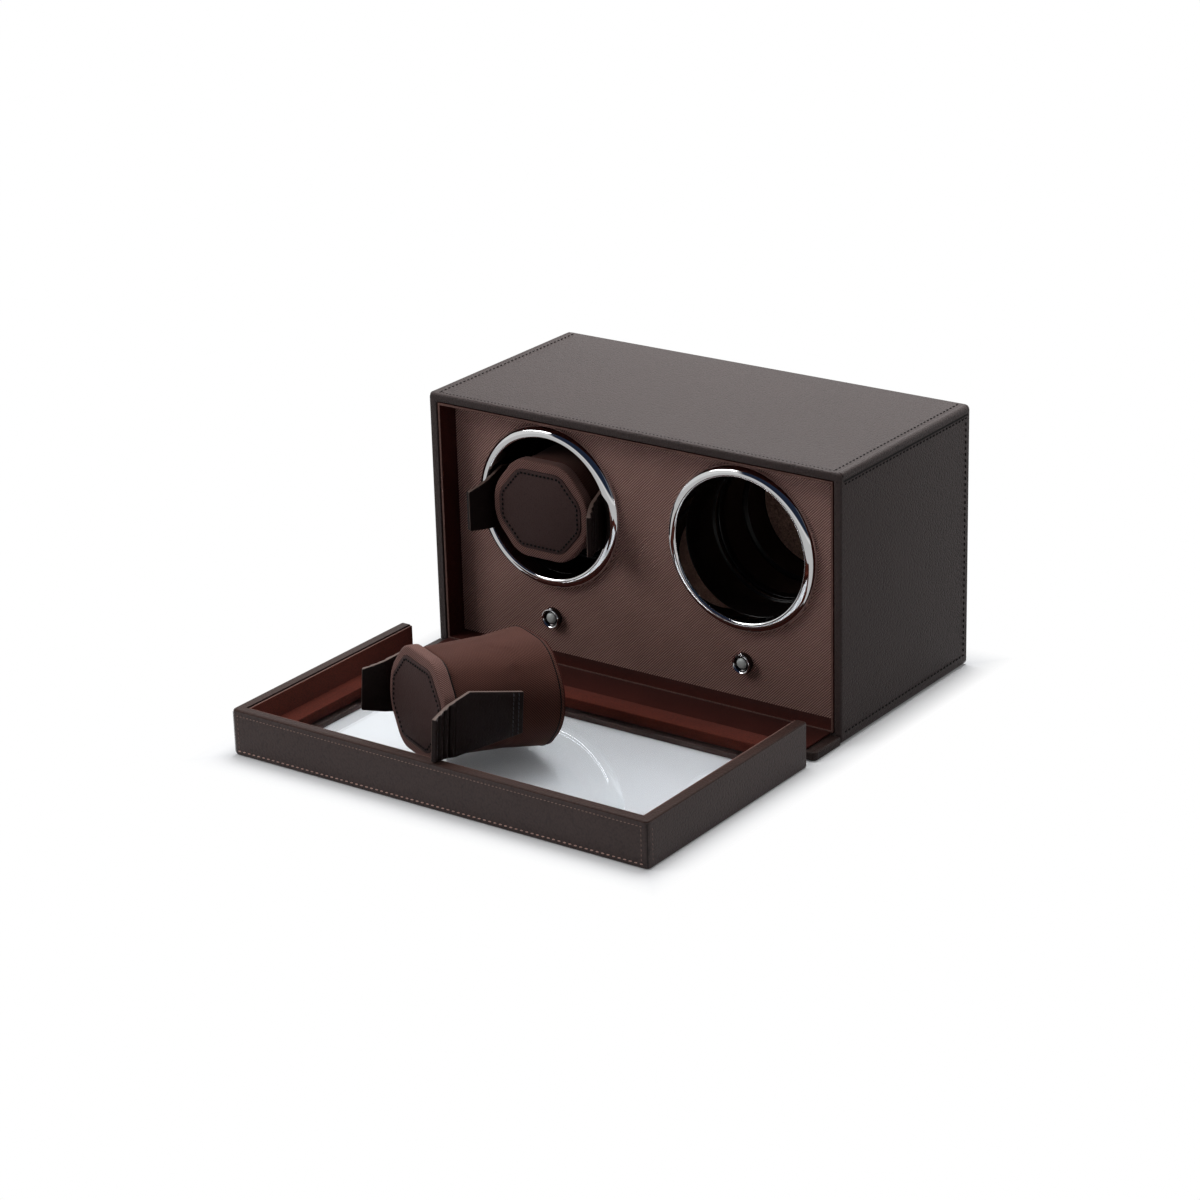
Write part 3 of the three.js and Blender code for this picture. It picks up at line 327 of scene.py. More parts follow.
def noise_node(tree, place, scale, detail):
    return add_node(tree, "TexNoise", {"Vector": place, "Scale": scale, "Detail": detail}).outputs["Fac"]


def shader_group(name, settings):
    """A group that gives colour, roughness and height at a place, from its own settings."""
    group = bpy.data.node_groups.new(name, "ShaderNodeTree")
    for label, value in {"Place": (0, 0, 0), **settings}.items():
        kind = "Float" if isinstance(value, float) else "Color" if len(value) == 4 else "Vector"
        group.interface.new_socket(
            label, in_out="INPUT", socket_type="NodeSocket" + kind).default_value = value
    for label, kind in (("Colour", "Color"), ("Roughness", "Float"), ("Height", "Float")):
        group.interface.new_socket(label, in_out="OUTPUT", socket_type="NodeSocket" + kind)
    return group, group.nodes.new("NodeGroupInput").outputs, group.nodes.new("NodeGroupOutput")


def arithmetic(tree):
    """Sum, difference and product of two values in a shader tree."""
    return (lambda first, second, kind=kind: math_node(tree, kind, first, second)
            for kind in ("ADD", "SUBTRACT", "MULTIPLY"))


# The pebble of leather: rounded cells with creases between them, over a faint mottle. The colour is darkened
# in the creases: painted shade.
grain, given, result = shader_group("Leather Grain", {
    "Colour": (0.1, 0.1, 0.1, 1), "Pebbles per Metre": 900.0, "Crease": 0.35, "Mottle": 0.2,
})
plus, minus, times = arithmetic(grain)
cells = add_node(grain, "TexVoronoi", {}, feature="SMOOTH_F1")
feed(grain, cells, {"Vector": given["Place"], "Scale": given["Pebbles per Metre"], "Smoothness": 0.35})
fine = noise_node(grain, given["Place"], 2600.0, 2.0)
broad = noise_node(grain, given["Place"], 22.0, 3.0)
dip = times(cells.outputs["Distance"], cells.outputs["Distance"])
# The colour darkens towards the cells' edges: painted shade in the creases between pebbles
dark = minus(plus(1.0, times(minus(broad, 0.5), given["Mottle"])), times(dip, given["Crease"]))
tint = add_node(grain, "VectorMath", {}, operation="SCALE")
feed(grain, tint, {0: given["Colour"], "Scale": dark})
feed(grain, result, {
    "Colour": tint.outputs["Vector"], "Roughness": plus(0.42, times(fine, 0.22)),
    "Height": minus(times(fine, 0.35), dip),
})


def tone(red, green, blue):
    """A colour given in screen values from 0 to 255, as the shader wants it."""
    level = [v / 255 for v in (red, green, blue)]
    return (*(v / 12.92 if v < 0.04045 else ((v + 0.055) / 1.055) ** 2.4 for v in level), 1)


def grouped_finish(name, group, settings, relief, place=None, **constants):
    """A material whose colour, roughness and relief come from one of the shader groups."""
    material, tree, shader = new_material(name)
    pattern = add_node(tree, "Group", {}, node_tree=group)
    feed(tree, pattern, {"Place": place(tree) if place else place_of(tree), **settings})
    bump = add_node(tree, "Bump", {"Strength": 1, "Distance": relief, "Height": pattern.outputs["Height"]})
    feed(tree, shader, {
        "Base Color": pattern.outputs["Colour"], "Roughness": pattern.outputs["Roughness"],
        "Normal": bump.outputs["Normal"],
        **{label.replace("_", " "): value for label, value in constants.items()},
    })
    return material


def leather_finish(name, colour, pebbles, relief, sheen=0.0, coat=0.0, crease=0.35, gloss=0.4):
    return grouped_finish(
        name, grain, {"Colour": colour, "Pebbles per Metre": pebbles, "Crease": crease}, relief,
        Specular_IOR_Level=gloss, Sheen_Weight=sheen, Sheen_Roughness=0.4,
        Coat_Weight=coat, Coat_Roughness=0.3,
    )


cabinet_leather = leather_finish(
    "cabinet_leather", tone(54, 41, 39), 1050.0, 0.00028, sheen=0.02, crease=0.6, gloss=0.3)
# Near-black leather: painted shade in the gaps of seams, and the colour of the cuffs' dark piping cord
seam_shadow = leather_finish("seam_shadow", tone(10, 5, 5), 1000.0, 0.00005, gloss=0.1)
dark_thread = leather_finish("dark_thread", tone(14, 8, 8), 3000.0, 0.00005, gloss=0.1)

shell = block("cabinet_leather_shell", shell_low, shell_high)
round_edges(shell, shell_corner, 6, lambda edge: along(edge, 1))
hollow = block(
    "hollow", shell_low + Vector((shell_wall, -shell_wall, shell_wall)),
    shell_high + Vector((-shell_wall, shell_wall, -shell_wall)),
)
cut_away(shell, hollow)
soften(shell, shell_rim, 3, 60)
smooth(shell)
finish_piece(shell, cabinet_leather, "cabinet", "leather_dark", "cabinet_shell")


def thread(name):
    """One stitch, as a sphere one unit long that is scaled later."""
    return add_shape(name, bpy.ops.mesh.primitive_uv_sphere_add, segments=8, ring_count=5, radius=0.5)


def stitch_row(name, start, end, outward, material, body, pitch=stitch_pitch, length=0.0023, width=0.0012):
    """A row of thread stitches from start to end on a face whose normal is outward."""
    start, end, outward = Vector(start), Vector(end), Vector(outward)
    run = end - start
    count = max(2, round(run.length / pitch))
    row = thread(name)
    row.matrix_world = (
        Matrix.Translation(start)
        @ Matrix((run.normalized(), outward.cross(run).normalized(), outward)).transposed().to_4x4()
        @ Matrix.Rotation(math.radians(stitch_slant), 4, "Z")
        @ Matrix.Diagonal((length, width, width * 0.75, 1))
    )
    settle()
    apply_modifier(
        row, "ARRAY", count=count, use_relative_offset=False, use_constant_offset=True,
        constant_offset_displace=run / (count - 1),
    )
    smooth(row, 80)
    finish_piece(row, material, body, "leather_dark")


stitch_inset = 0.0058
end_inset = 0.0045
lower_inset = 0.0066
roll_radius = 0.0024
roll_depth = 0.00035
seam_rise = 0.00012
# Small dark marks along the front of the top: painted shade for little dents in the leather there
edge_dents = leather_finish("edge_dents", tone(22, 14, 13), 2000.0, 0.00004, gloss=0.15)
stitch_row("dents_top_front", (shell_low.x + 0.006, shell_low.y + 0.0026, shell_high.z),
           (shell_high.x - 0.006, shell_low.y + 0.0026, shell_high.z), (0, 0, 1), edge_dents, "cabinet",
           pitch=0.0024, length=0.0013, width=0.0008)
for side, sign in sides:
    x_face = shell_high.x * sign
    x_top = x_face - sign * stitch_inset
    y0, y1 = shell_low.y + end_inset, shell_high.y - end_inset
    z0, z1 = shell_low.z + lower_inset, shell_high.z - lower_inset
    for name, start, end, outward in (
        ("top", (x_top, y0, shell_high.z), (x_top, y1, shell_high.z), (0, 0, 1)),
        ("side_upper", (x_face, y0, z1), (x_face, y1, z1), (sign, 0, 0)),
        ("side_lower", (x_face, y0, z0), (x_face, y1, z0), (sign, 0, 0)),
        ("side_rear", (x_face, y1, z0 + stitch_pitch), (x_face, y1, z1 - stitch_pitch), (sign, 0, 0)),
    ):
        stitch_row(f"stitches_{name}_{side}", start, end, outward, dark_thread, "cabinet")
    # The rolled edge of the top's leather; the thin dark strip below it is painted shade in the seam's
    # groove
    roll = add_shape(
        f"rolled_edge_{side}", bpy.ops.mesh.primitive_cylinder_add, vertices=24, radius=roll_radius,
        depth=shell_high.y - shell_low.y - 2 * shell_rim, rotation=(math.pi / 2, 0, 0),
        location=(x_face - sign * (roll_radius - roll_depth), 0, shell_high.z - roll_radius + 0.0002),
    )
    settle()
    soften(roll, 0.0007, 3, 50)
    smooth(roll)
    finish_piece(roll, cabinet_leather, "cabinet", "leather_dark")
    seam_x, seam_z = sorted((x_face, x_face + sign * seam_rise)), shell_high.z - 2 * roll_radius
    seam = block(f"seam_side_{side}", (seam_x[0], y0 - 0.002, seam_z - 0.0007),
                 (seam_x[1], y1 + 0.002, seam_z + 0.0004))
    soften(seam, 0.00005, 1)
    finish_piece(seam, seam_shadow, "cabinet", "leather_dark")

# Front liner: a frame of thin board covered with brown cloth, pushed into the cabinet's
# mouth as far as the panel. The cloth turns over its front edge, worn paler there, with a
# painted highlight on it.
nap, given, result = shader_group("Cloth Nap", {
    "Colour": (0.1, 0.1, 0.1, 1), "Shade": (0.05, 0.05, 0.05, 1), "Fibres per Metre": 1500.0, "Mottle": 0.3,
})
plus, minus, times = arithmetic(nap)
fibres = noise_node(nap, given["Place"], given["Fibres per Metre"], 4.0)
clouds = noise_node(nap, given["Place"], 45.0, 4.0)
depth = plus(times(minus(fibres, 0.3), 1.9), times(minus(clouds, 0.5), given["Mottle"]))
depth.node.use_clamp = True
feed(nap, result, {
    "Colour": colour_mix(nap, depth, given["Shade"], given["Colour"]),
    "Roughness": plus(0.78, times(fibres, 0.2)), "Height": fibres,
})


def nap_finish(name, colour, shade, fibres, mottle, relief, **constants):
    return grouped_finish(name, nap, {
        "Colour": colour, "Shade": shade, "Fibres per Metre": fibres, "Mottle": mottle,
    }, relief, **constants)


# The same brown cloth as the lid's lining, given darker: painted shade in the cabinet's mouth, also used on
# the sill pad and the cuffs' end cords
lining_cloth = nap_finish(
    "lining_cloth", tone(72, 29, 22), tone(42, 15, 11), 1700.0, 0.5, 0.00008,
    Specular_IOR_Level=0.07, Sheen_Weight=0.02)
# Paler cloth for cut edges: partly rubbed paler, partly a painted highlight along the edge
worn_and_lit_cloth = nap_finish(
    "worn_cloth_edge", tone(112, 80, 72), tone(72, 48, 42), 900.0, 0.9, 0.00005, Specular_IOR_Level=0.4)


def give_faces(piece, material, test):
    """Gives the faces that pass a test a second material."""
    piece.data.materials.append(material)
    place = len(piece.data.materials) - 1
    for face in piece.data.polygons:
        if test(face.center, face.normal):
            face.material_index = place


liner_low, liner_high = box_of("front_liner")
liner_wall = Vector((0.0014, -0.01, 0.0014))
front_liner = block("front_liner_cloth", liner_low, liner_high)
cut_away(front_liner, block("hollow", liner_low + liner_wall, liner_high - liner_wall))
soften(front_liner, 0.00035, 3, 60)
smooth(front_liner)
finish_piece(front_liner, lining_cloth, "cabinet", "lining_brown", "front_liner")
give_faces(front_liner, worn_and_lit_cloth, lambda at, normal: at.y < liner_low.y + 0.0003 and normal.y < -0.4)

# Face panel: board covered with twill glued flat, with two wells and two knob holes cut
# in it. The ribs of the twill run up to the right at 45 degrees, 1.1 mm apart.
twill, given, result = shader_group("Twill Weave", {
    "Thread": (0.1, 0.1, 0.1, 1), "Gap": (0.02, 0.02, 0.02, 1), "Ribs per Metre": 760.0, "Mottle": 0.3,
})
plus, minus, times = arithmetic(twill)
parts = add_node(twill, "SeparateXYZ", {"Vector": given["Place"]}).outputs
turn = math.sqrt(0.5)
across = times(times(minus(parts["X"], parts["Y"]), turn), given["Ribs per Metre"])
down = times(times(plus(parts["X"], parts["Y"]), turn), given["Ribs per Metre"])


def wave(turns):
    """Goes from 1 to 0 and back once a turn."""
    return times(plus(math_node(twill, "COSINE", times(turns, 2 * math.pi), 0.0), 1.0), 0.5)


row = math_node(twill, "ROUND", across, 0.0)
relief = times(wave(across), plus(0.62, times(wave(plus(down, times(row, 0.5))), 0.38)))
hairs = noise_node(twill, given["Place"], 2600.0, 3.0)
clouds = noise_node(twill, given["Place"], 30.0, 4.0)
patchy = times(minus(clouds, 0.5), given["Mottle"])
share = plus(plus(relief, patchy), times(minus(hairs, 0.5), 0.7))
share.node.use_clamp = True
feed(twill, result, {
    "Colour": colour_mix(twill, share, given["Gap"], given["Thread"]),
    "Roughness": minus(0.9, times(relief, 0.2)), "Height": plus(relief, times(hairs, 0.25)),
})


def upright_place(tree):
    """Object coordinates turned so that a pattern lies on upright faces."""
    parts = add_node(tree, "SeparateXYZ", {"Vector": place_of(tree)}).outputs
    return add_node(tree, "CombineXYZ", {"X": parts["X"], "Y": parts["Z"]}).outputs["Vector"]


panel_twill = grouped_finish(
    "panel_twill", twill,
    {"Thread": tone(196, 152, 142), "Gap": tone(66, 40, 35), "Ribs per Metre": 900.0, "Mottle": 0.25},
    0.00026, upright_place, Specular_IOR_Level=0.3, Sheen_Weight=0.05,
)


def both(*stems):
    return [f"{stem}_{side}" for stem in stems for side in ("left", "right")]


def dress(material, *nodes):
    """Gives solids of the part their material; they keep their own shape."""
    for node in nodes:
        frame["nodes"][node].material_slots[0].material = material


dress(panel_twill, "face_panel")

# Rings, sleeves, drums and knobs: the rings and knobs are turned brass, chromed; each ring is
# pressed through the panel into a fixed black sleeve. Behind it turns the drum, a black
# moulded cup with a brown felt disc in it. They are alike on both sides.
def turned(name, profile, centre, steps=112, round_by=0.0):
    """Spins an outline of (radius, depth) points round a line along y through the centre."""
    piece = add_shape(name, bpy.ops.mesh.primitive_circle_add, vertices=len(profile), radius=0.01)
    for vertex, (radius, depth) in zip(piece.data.vertices, profile):
        vertex.co = (centre[0] + radius, depth, centre[1])
    only(piece)
    bpy.ops.object.mode_set(mode="EDIT")
    bpy.ops.mesh.select_all(action="SELECT")
    bpy.ops.mesh.spin(
        steps=steps, angle=2 * math.pi, center=(centre[0], 0, centre[1]), axis=(0, 1, 0),
        use_auto_merge=True,
    )
    bpy.ops.mesh.select_all(action="SELECT")
    bpy.ops.mesh.remove_doubles(threshold=0.000004)
    bpy.ops.mesh.dissolve_degenerate(threshold=0.000001)
    bpy.ops.mesh.normals_make_consistent(inside=False)
    bpy.ops.object.mode_set(mode="OBJECT")
    if round_by:
        soften(piece, round_by, 3, 40)
    smooth(piece, 35)
    return piece


wear, given, result = shader_group("Fine Wear", {
    "Colour": (0.5, 0.5, 0.5, 1), "Second Colour": (0.4, 0.4, 0.4, 1), "Marks per Metre": 400.0,
    "Smoothness": 0.1, "Spread": 0.1,
})
plus, minus, times = arithmetic(wear)
marks = noise_node(wear, given["Place"], given["Marks per Metre"], 5.0)
smears = noise_node(wear, given["Place"], 60.0, 3.0)
blend = plus(times(marks, 0.7), times(smears, 0.3))
feed(wear, result, {
    "Colour": colour_mix(wear, blend, given["Colour"], given["Second Colour"]),
    "Roughness": plus(given["Smoothness"], times(blend, given["Spread"])), "Height": marks,
})


def worn_finish(name, colour, second, roughness, spread, marks=400.0, relief=0.00001,
                stretch=(1, 1, 1), **constants):
    return grouped_finish(name, wear, {
        "Colour": colour, "Second Colour": second, "Marks per Metre": marks,
        "Smoothness": roughness, "Spread": spread,
    }, relief, lambda tree: add_node(
        tree, "Mapping", {"Scale": stretch, "Vector": place_of(tree)}).outputs["Vector"], **constants)


chrome = worn_finish(
    "chrome", (0.9, 0.9, 0.9, 1), (0.82, 0.82, 0.83, 1), 0.02, 0.04, 90.0, 0.0, Metallic=1)
satin_nickel = worn_finish(
    "satin_nickel", tone(214, 218, 216), tone(176, 180, 178), 0.4, 0.3, 500.0, 0.00001, Metallic=0.4)
# A dark metal that stands in for dark reflections on the knobs: painted reflection
dark_nickel = worn_finish(
    "dark_nickel", tone(78, 76, 76), tone(54, 52, 52), 0.12, 0.1, 90.0, 0.0, Metallic=1)
well_black = worn_finish(
    "well_black", tone(8, 6, 6), tone(18, 13, 12), 0.13, 0.16, 300.0, 0.000004, Specular_IOR_Level=0.5)
felt_disc = nap_finish(
    "felt_disc", tone(186, 146, 128), tone(104, 74, 62), 1100.0, 0.9, 0.0002,
    Specular_IOR_Level=0.15, Sheen_Weight=0.1)
steel = worn_finish(
    "steel", tone(150, 150, 152), tone(110, 110, 114), 0.3, 0.2, 250.0, 0.000006, (1, 8, 1), Metallic=1)

ring_low, ring_high = box_of("chrome_ring_right")
ring_outer = (ring_high.x - ring_low.x) / 2
ring_inner = 0.041
crown_radius = 0.0425
ring_front_step = 0.0007
ring_back = -0.0521
shoulder = ring_back - ring_front_step
ring_spigot = 0.0442
sleeve_bore, sleeve_outer, sleeve_flange = 0.0411, 0.0432, 0.05
sleeve_lip, lip_height = 0.04, 0.0022
drum_bore, drum_outer, drum_rim = 0.0385, 0.0406, 0.04
drum_step, drum_hub, screw_seat, screw_hole = 0.0362, 0.008, 0.0056, 0.0031
knob_set_back, knob_proud, knob_shaft = 0.0032, 0.0044, 0.0025
knob_face = (
    (0, 0.08), (0.18, 0.09), (0.32, 0.12), (0.42, 0.17), (0.48, 0.24), (0.54, 0.34), (0.62, 0.36),
    (0.7, 0.3), (0.78, 0.14), (0.83, 0.03), (0.88, 0), (0.93, 0.02), (0.97, 0.1), (1, 0.24),
    (1, 0.85), (0.97, 0.96), (0.93, 1),
)


def quarter_turn(steps):
    return [math.pi / 2 * step / steps for step in range(1, steps + 1)]


for side in ("left", "right"):
    low, high = box_of(f"chrome_ring_{side}")
    middle = ((low.x + high.x) / 2, (low.z + high.z) / 2)
    outline = [(ring_outer, ring_back), (ring_outer, shoulder)]
    for angle in quarter_turn(24):
        outline.append((crown_radius + (ring_outer - crown_radius) * math.cos(angle),
                        shoulder - (shoulder - low.y) * math.sin(angle)))
    for angle in quarter_turn(16):
        outline.append((ring_inner + (crown_radius - ring_inner) * (1 - math.sin(angle)),
                        low.y + (crown_radius - ring_inner) * (1 - math.cos(angle))))
    outline += [(ring_inner, high.y), (ring_spigot, high.y), (ring_spigot, ring_back)]
    ring = turned(f"chromed_ring_{side}", outline, middle, 240)
    finish_piece(ring, chrome, "cabinet", "chrome", f"chrome_ring_{side}")

    low, high = box_of(f"fixed_sleeve_{side}")
    sleeve = turned(f"sleeve_{side}", [
        (sleeve_bore, low.y), (sleeve_flange, low.y), (sleeve_flange, low.y + lip_height),
        (sleeve_outer, low.y + lip_height), (sleeve_outer, high.y), (sleeve_lip, high.y),
        (sleeve_lip, high.y - lip_height), (sleeve_bore, high.y - lip_height),
    ], middle, round_by=0.0002)
    finish_piece(sleeve, well_black, "cabinet", "black_plastic", f"fixed_sleeve_{side}")

    low, high = box_of(f"drum_cup_{side}")
    floor_front = low.y + 0.0415
    stop = low.y + 0.0231
    drum = turned(f"drum_{side}", [
        (drum_rim, low.y), (drum_outer, low.y), (drum_outer, floor_front + 0.0025),
        (drum_hub, floor_front + 0.0025), (drum_hub, high.y), (screw_hole, high.y),
        (screw_hole, floor_front + 0.0016), (screw_seat, floor_front + 0.0016), (screw_seat, floor_front),
        (drum_step, floor_front), (drum_step, stop), (drum_bore, stop), (drum_bore, low.y + 0.005),
    ], middle, round_by=0.00018)
    finish_piece(drum, well_black, f"drum_{side}", "black_plastic", f"drum_cup_{side}")

    low, high = box_of(f"drum_lining_{side}")
    radius = (high.x - low.x) / 2
    disc = turned(f"felt_{side}", [
        (0, high.y), (radius, high.y), (radius, high.y - 0.0007), (radius - 0.0002, high.y - 0.001),
        (radius - 0.0006, low.y), (0, low.y),
    ], middle, 96)
    finish_piece(disc, felt_disc, f"drum_{side}", "lining_brown", f"drum_lining_{side}")

    low, high = box_of(f"knob_{side}")
    middle = ((low.x + high.x) / 2, (low.z + high.z) / 2)
    radius, front = (high.x - low.x) / 2, low.y + knob_set_back
    knob = turned(f"knob_chrome_{side}", [
        *((share * radius, front + depth * knob_proud) for share, depth in knob_face),
        (knob_shaft, front + knob_proud), (knob_shaft, high.y), (0, high.y),
    ], middle, 64)
    cut_away(knob, block(
        "notch", (middle[0] - 0.0005, front - 0.002, middle[1] + 0.8 * radius),
        (middle[0] + 0.0005, front + knob_proud / 3, middle[1] + radius + 0.002),
    ))
    soften(knob, 0.00008, 2, 50)
    smooth(knob, 35)
    finish_piece(knob, chrome, f"knob_{side}", "chrome", f"knob_{side}")
    # The band round the knob's face and the knob's side get the dark metal: painted dark reflection
    for material, inner, outer, on_face in (
        (dark_nickel, 0.55, 0.8, True), (dark_nickel, 0.9, 2, False), (satin_nickel, -1, 0.55, True),
    ):
        give_faces(knob, material, lambda at, normal: (
            inner * radius < math.hypot(at.x - middle[0], at.z - middle[1]) < outer * radius
            and (at.y < front + knob_proud / 2 if on_face else abs(normal.y) < 0.3)))

# Sill: the cabinet's base board carried forward under the closed lid, wrapped in the same
# leather, with a thin lined pad glued on its top.
sill_low, sill_high = box_of("sill_board")
strip_low, strip_high = box_of("hinge_strip_sill")
strip_gap = 0.0002
strip_rebate = 0.0011
sill = block("sill_leather", sill_low, sill_high)
round_edges(sill, 0.003, 5, lambda edge: along(edge, 2) and edge.verts[0].co.y < sill_low.y + 0.001)
soften(sill, 0.0012, 4, 60)
cut_away(sill, block(
    "rebate", (strip_low.x - strip_gap, sill_low.y - 0.01, -0.01),
    (strip_high.x + strip_gap, strip_high.y + strip_gap, strip_rebate),
))
smooth(sill)
# The sill's leather is the cabinet's, given a darker tone: painted shade
sill_leather = leather_finish("sill_leather", tone(46, 31, 27), 1050.0, 0.00028, crease=0.6, gloss=0.2)
finish_piece(sill, sill_leather, "cabinet", "leather_dark", "sill_board")

pad_low, pad_high = box_of("sill_pad")
sill_pad = block("sill_pad_cloth", pad_low, pad_high)
soften(sill_pad, 0.0004, 3, 60)
smooth(sill_pad)
finish_piece(sill_pad, lining_cloth, "cabinet", "lining_brown", "sill_pad")

# Lid: three walls of board round a window, wrapped in the cabinet's leather. The leather is
# sewn along the top and bottom of the far wall and beside the rounded corners, where its
# two ends meet in a seam.
lid_low, lid_high = box_of("lid_frame")
lid_wall = 0.0058
lid_floor = 0.003
glass_low, glass_high = box_of("lid_glass")
glass_lap = Vector((0.0055, 0.0055, 0))
lid = block("lid_leather", lid_low, lid_high)
round_edges(lid, 0.003, 6, lambda edge: along(edge, 2) and edge.verts[0].co.y < lid_low.y + 0.001)
round_edges(lid, 0.0016, 4, lambda edge: along(edge, 2) and edge.verts[0].co.y > lid_high.y - 0.001)
soften(lid, 0.0012, 4, 60)
hinge_low, hinge_high = box_of("hinge_strip_lid")
cut_away(
    lid,
    block("hollow", (lid_low.x + lid_wall, lid_low.y + lid_wall, lid_floor),
          (lid_high.x - lid_wall, lid_high.y + 0.01, lid_high.z + 0.01)),
    block("window", glass_low + glass_lap - Vector((0, 0, 0.01)), glass_high - glass_lap),
    block("rebate", (hinge_low.x - strip_gap, hinge_low.y - strip_gap, -0.01),
          (hinge_high.x + strip_gap, lid_high.y + 0.01, strip_rebate)),
)
smooth(lid, 30)
# The lid's leather is the cabinet's, given a lighter tone: painted light on the lid
lid_leather = leather_finish("lid_leather", tone(63, 48, 45), 850.0, 0.00016, sheen=0.02, crease=0.5)
rim_leather = leather_finish("rim_leather", tone(52, 34, 29), 850.0, 0.00016, crease=0.5, gloss=0.12)
finish_piece(lid, lid_leather, "lid", "leather_dark", "lid_frame")
give_faces(lid, rim_leather, lambda at, normal: at.z > lid_high.z - 0.0015 and normal.z > 0.5)

pale_thread = leather_finish("pale_thread", tone(196, 156, 142), 3000.0, 0.00004)
lid_thread = leather_finish("lid_thread", tone(128, 100, 90), 3000.0, 0.00004)
row_end = lid_low.x + 0.0042
stitch_row("stitches_lid_bottom", (row_end, lid_low.y, 0.0026), (-row_end, lid_low.y, 0.0026), (0, -1, 0),
           pale_thread, "lid", pitch=0.0033, length=0.0021, width=0.00075)
stitch_row("stitches_lid_top", (row_end, lid_low.y, lid_high.z - 0.0032),
           (-row_end, lid_low.y, lid_high.z - 0.0032), (0, -1, 0), lid_thread, "lid",
           pitch=0.0023, length=0.0015, width=0.00055)
for side, sign in sides:
    x_face = lid_high.x * sign
    x_seam = x_face - sign * 0.00075
    for name, at, outward in (
        ("front", (x_face - sign * 0.0041, lid_low.y), (0, -1, 0)),
        ("side", (x_face, lid_low.y + 0.0041), (sign, 0, 0)),
    ):
        stitch_row(f"stitches_corner_{name}_{side}", (*at, 0.0048), (*at, lid_high.z - 0.0052), outward,
                   lid_thread, "lid", pitch=0.0023, length=0.0015, width=0.00045)
    # A thin dark strip where the leather's two ends meet: painted shade in the seam's gap
    corner_shade_strip = block(f"seam_corner_{side}", (x_seam - 0.0001, lid_low.y + 0.00062, 0.0014),
                        (x_seam + 0.0001, lid_low.y + 0.00085, lid_high.z - 0.0014))
    soften(corner_shade_strip, 0.00004, 1)
    finish_piece(corner_shade_strip, seam_shadow, "lid", "leather_dark")

# Lid lining: brown cloth over thin board on the three walls and on the ledge, with a lip
# down to the glass. Its cut top edge shows as a paler line, partly worn and partly a painted highlight.
lining_low, lining_high = box_of("lid_lining")
cloth = 0.0012
ledge_top = 0.0125
sight_low = glass_low + glass_lap + Vector((-0.002, -0.002, 0))
sight_high = glass_high - glass_lap + Vector((0.002, 0.002, 0))
lid_lining = block("lid_lining_cloth", lining_low, lining_high)
cut_away(
    lid_lining,
    block("above", (lining_low.x + cloth, lining_low.y + cloth, ledge_top), (lining_high.x - cloth, 0, 0.1)),
    block("below_left", (lining_low.x - 0.01, -0.4, -0.01), (sight_low.x - cloth, 0, ledge_top - cloth)),
    block("below_right", (sight_high.x + cloth, -0.4, -0.01), (lining_high.x + 0.01, 0, ledge_top - cloth)),
    block("below_far", (-0.2, -0.4, -0.01), (0.2, sight_low.y - cloth, ledge_top - cloth)),
    block("below_near", (-0.2, sight_high.y + cloth, -0.01), (0.2, 0, ledge_top - cloth)),
    block("sight", (sight_low.x, sight_low.y, -0.01), (sight_high.x, sight_high.y, 0.1)),
)
soften(lid_lining, 0.00035, 2, 60)
smooth(lid_lining)
# The lid's lining cloth in its lighter tone; the front liner's copy is the darker, shaded one
lid_cloth = nap_finish(
    "lid_lining_cloth", tone(98, 44, 33), tone(56, 23, 17), 1700.0, 0.5, 0.00008,
    Specular_IOR_Level=0.07, Sheen_Weight=0.02)
finish_piece(lid_lining, lid_cloth, "lid", "lining_brown", "lid_lining")
give_faces(lid_lining, worn_and_lit_cloth, lambda at, normal: at.z > lining_high.z - 0.0003 and normal.z > 0.5)

# Glass: a clear pane lying on the lid's frame, held down by a wooden frame under the ledge.
clear_glass, tree, shader = new_material("clear_glass")
dust = noise_node(tree, place_of(tree), 14.0, 2.0)
streaks = add_node(tree, "Mapping", {
    "Scale": (1, 0.12, 1), "Rotation": (0, 0, 0.6), "Vector": place_of(tree),
}).outputs["Vector"]
smear = math_node(tree, "MULTIPLY", dust, noise_node(tree, streaks, 35.0, 2.0))
feed(tree, shader, {
    "Roughness": math_node(tree, "MULTIPLY", smear, 0.004),
    "Base Color": colour_mix(tree, dust, (0.96, 0.975, 0.985, 1), (0.94, 0.96, 0.975, 1)),
    "IOR": 1.46, "Transmission Weight": 1,
})
dress(clear_glass, "lid_glass")
frame_wood = worn_finish(
    "frame_wood", tone(92, 60, 42), tone(58, 36, 25), 0.55, 0.25, 260.0, 0.00005, (0.08, 1, 1))
dress(frame_wood, "glass_retainer")

# Hinge: one strip of leather glued under the sill and under the lid, cut finely along its
# length. On the real winder it bends between them as the lid is lifted; here it stays flat.
hinge = block("hinge_leather", hinge_low, strip_high)
edit(hinge, "edges", lambda edge: along(edge, 1), bpy.ops.mesh.subdivide, number_cuts=120)
round_edges(hinge, 0.0002, 2, lambda edge: along(edge, 1) and sharp(edge))
smooth(hinge)
hinge.data.materials.append(leather_finish("hinge_leather", tone(44, 33, 30), 1300.0, 0.00008))
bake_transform(hinge)
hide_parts("hinge_strip_sill", "hinge_strip_lid")

# Back: a leather covered panel with a moulded battery door in it and the socket for a mains
# adapter; all of it is plain and flush.
moulded_black = worn_finish("moulded_black", tone(22, 21, 21), tone(32, 30, 30), 0.42, 0.2, 1500.0, 0.00004)
back_leather = leather_finish("back_leather", tone(52, 42, 40), 1000.0, 0.00012, sheen=0.04)
dress(back_leather, "back_panel")
dress(moulded_black, "battery_door", "power_inlet", "battery_cradle", *both("rotary_switch", "gear_chassis"))

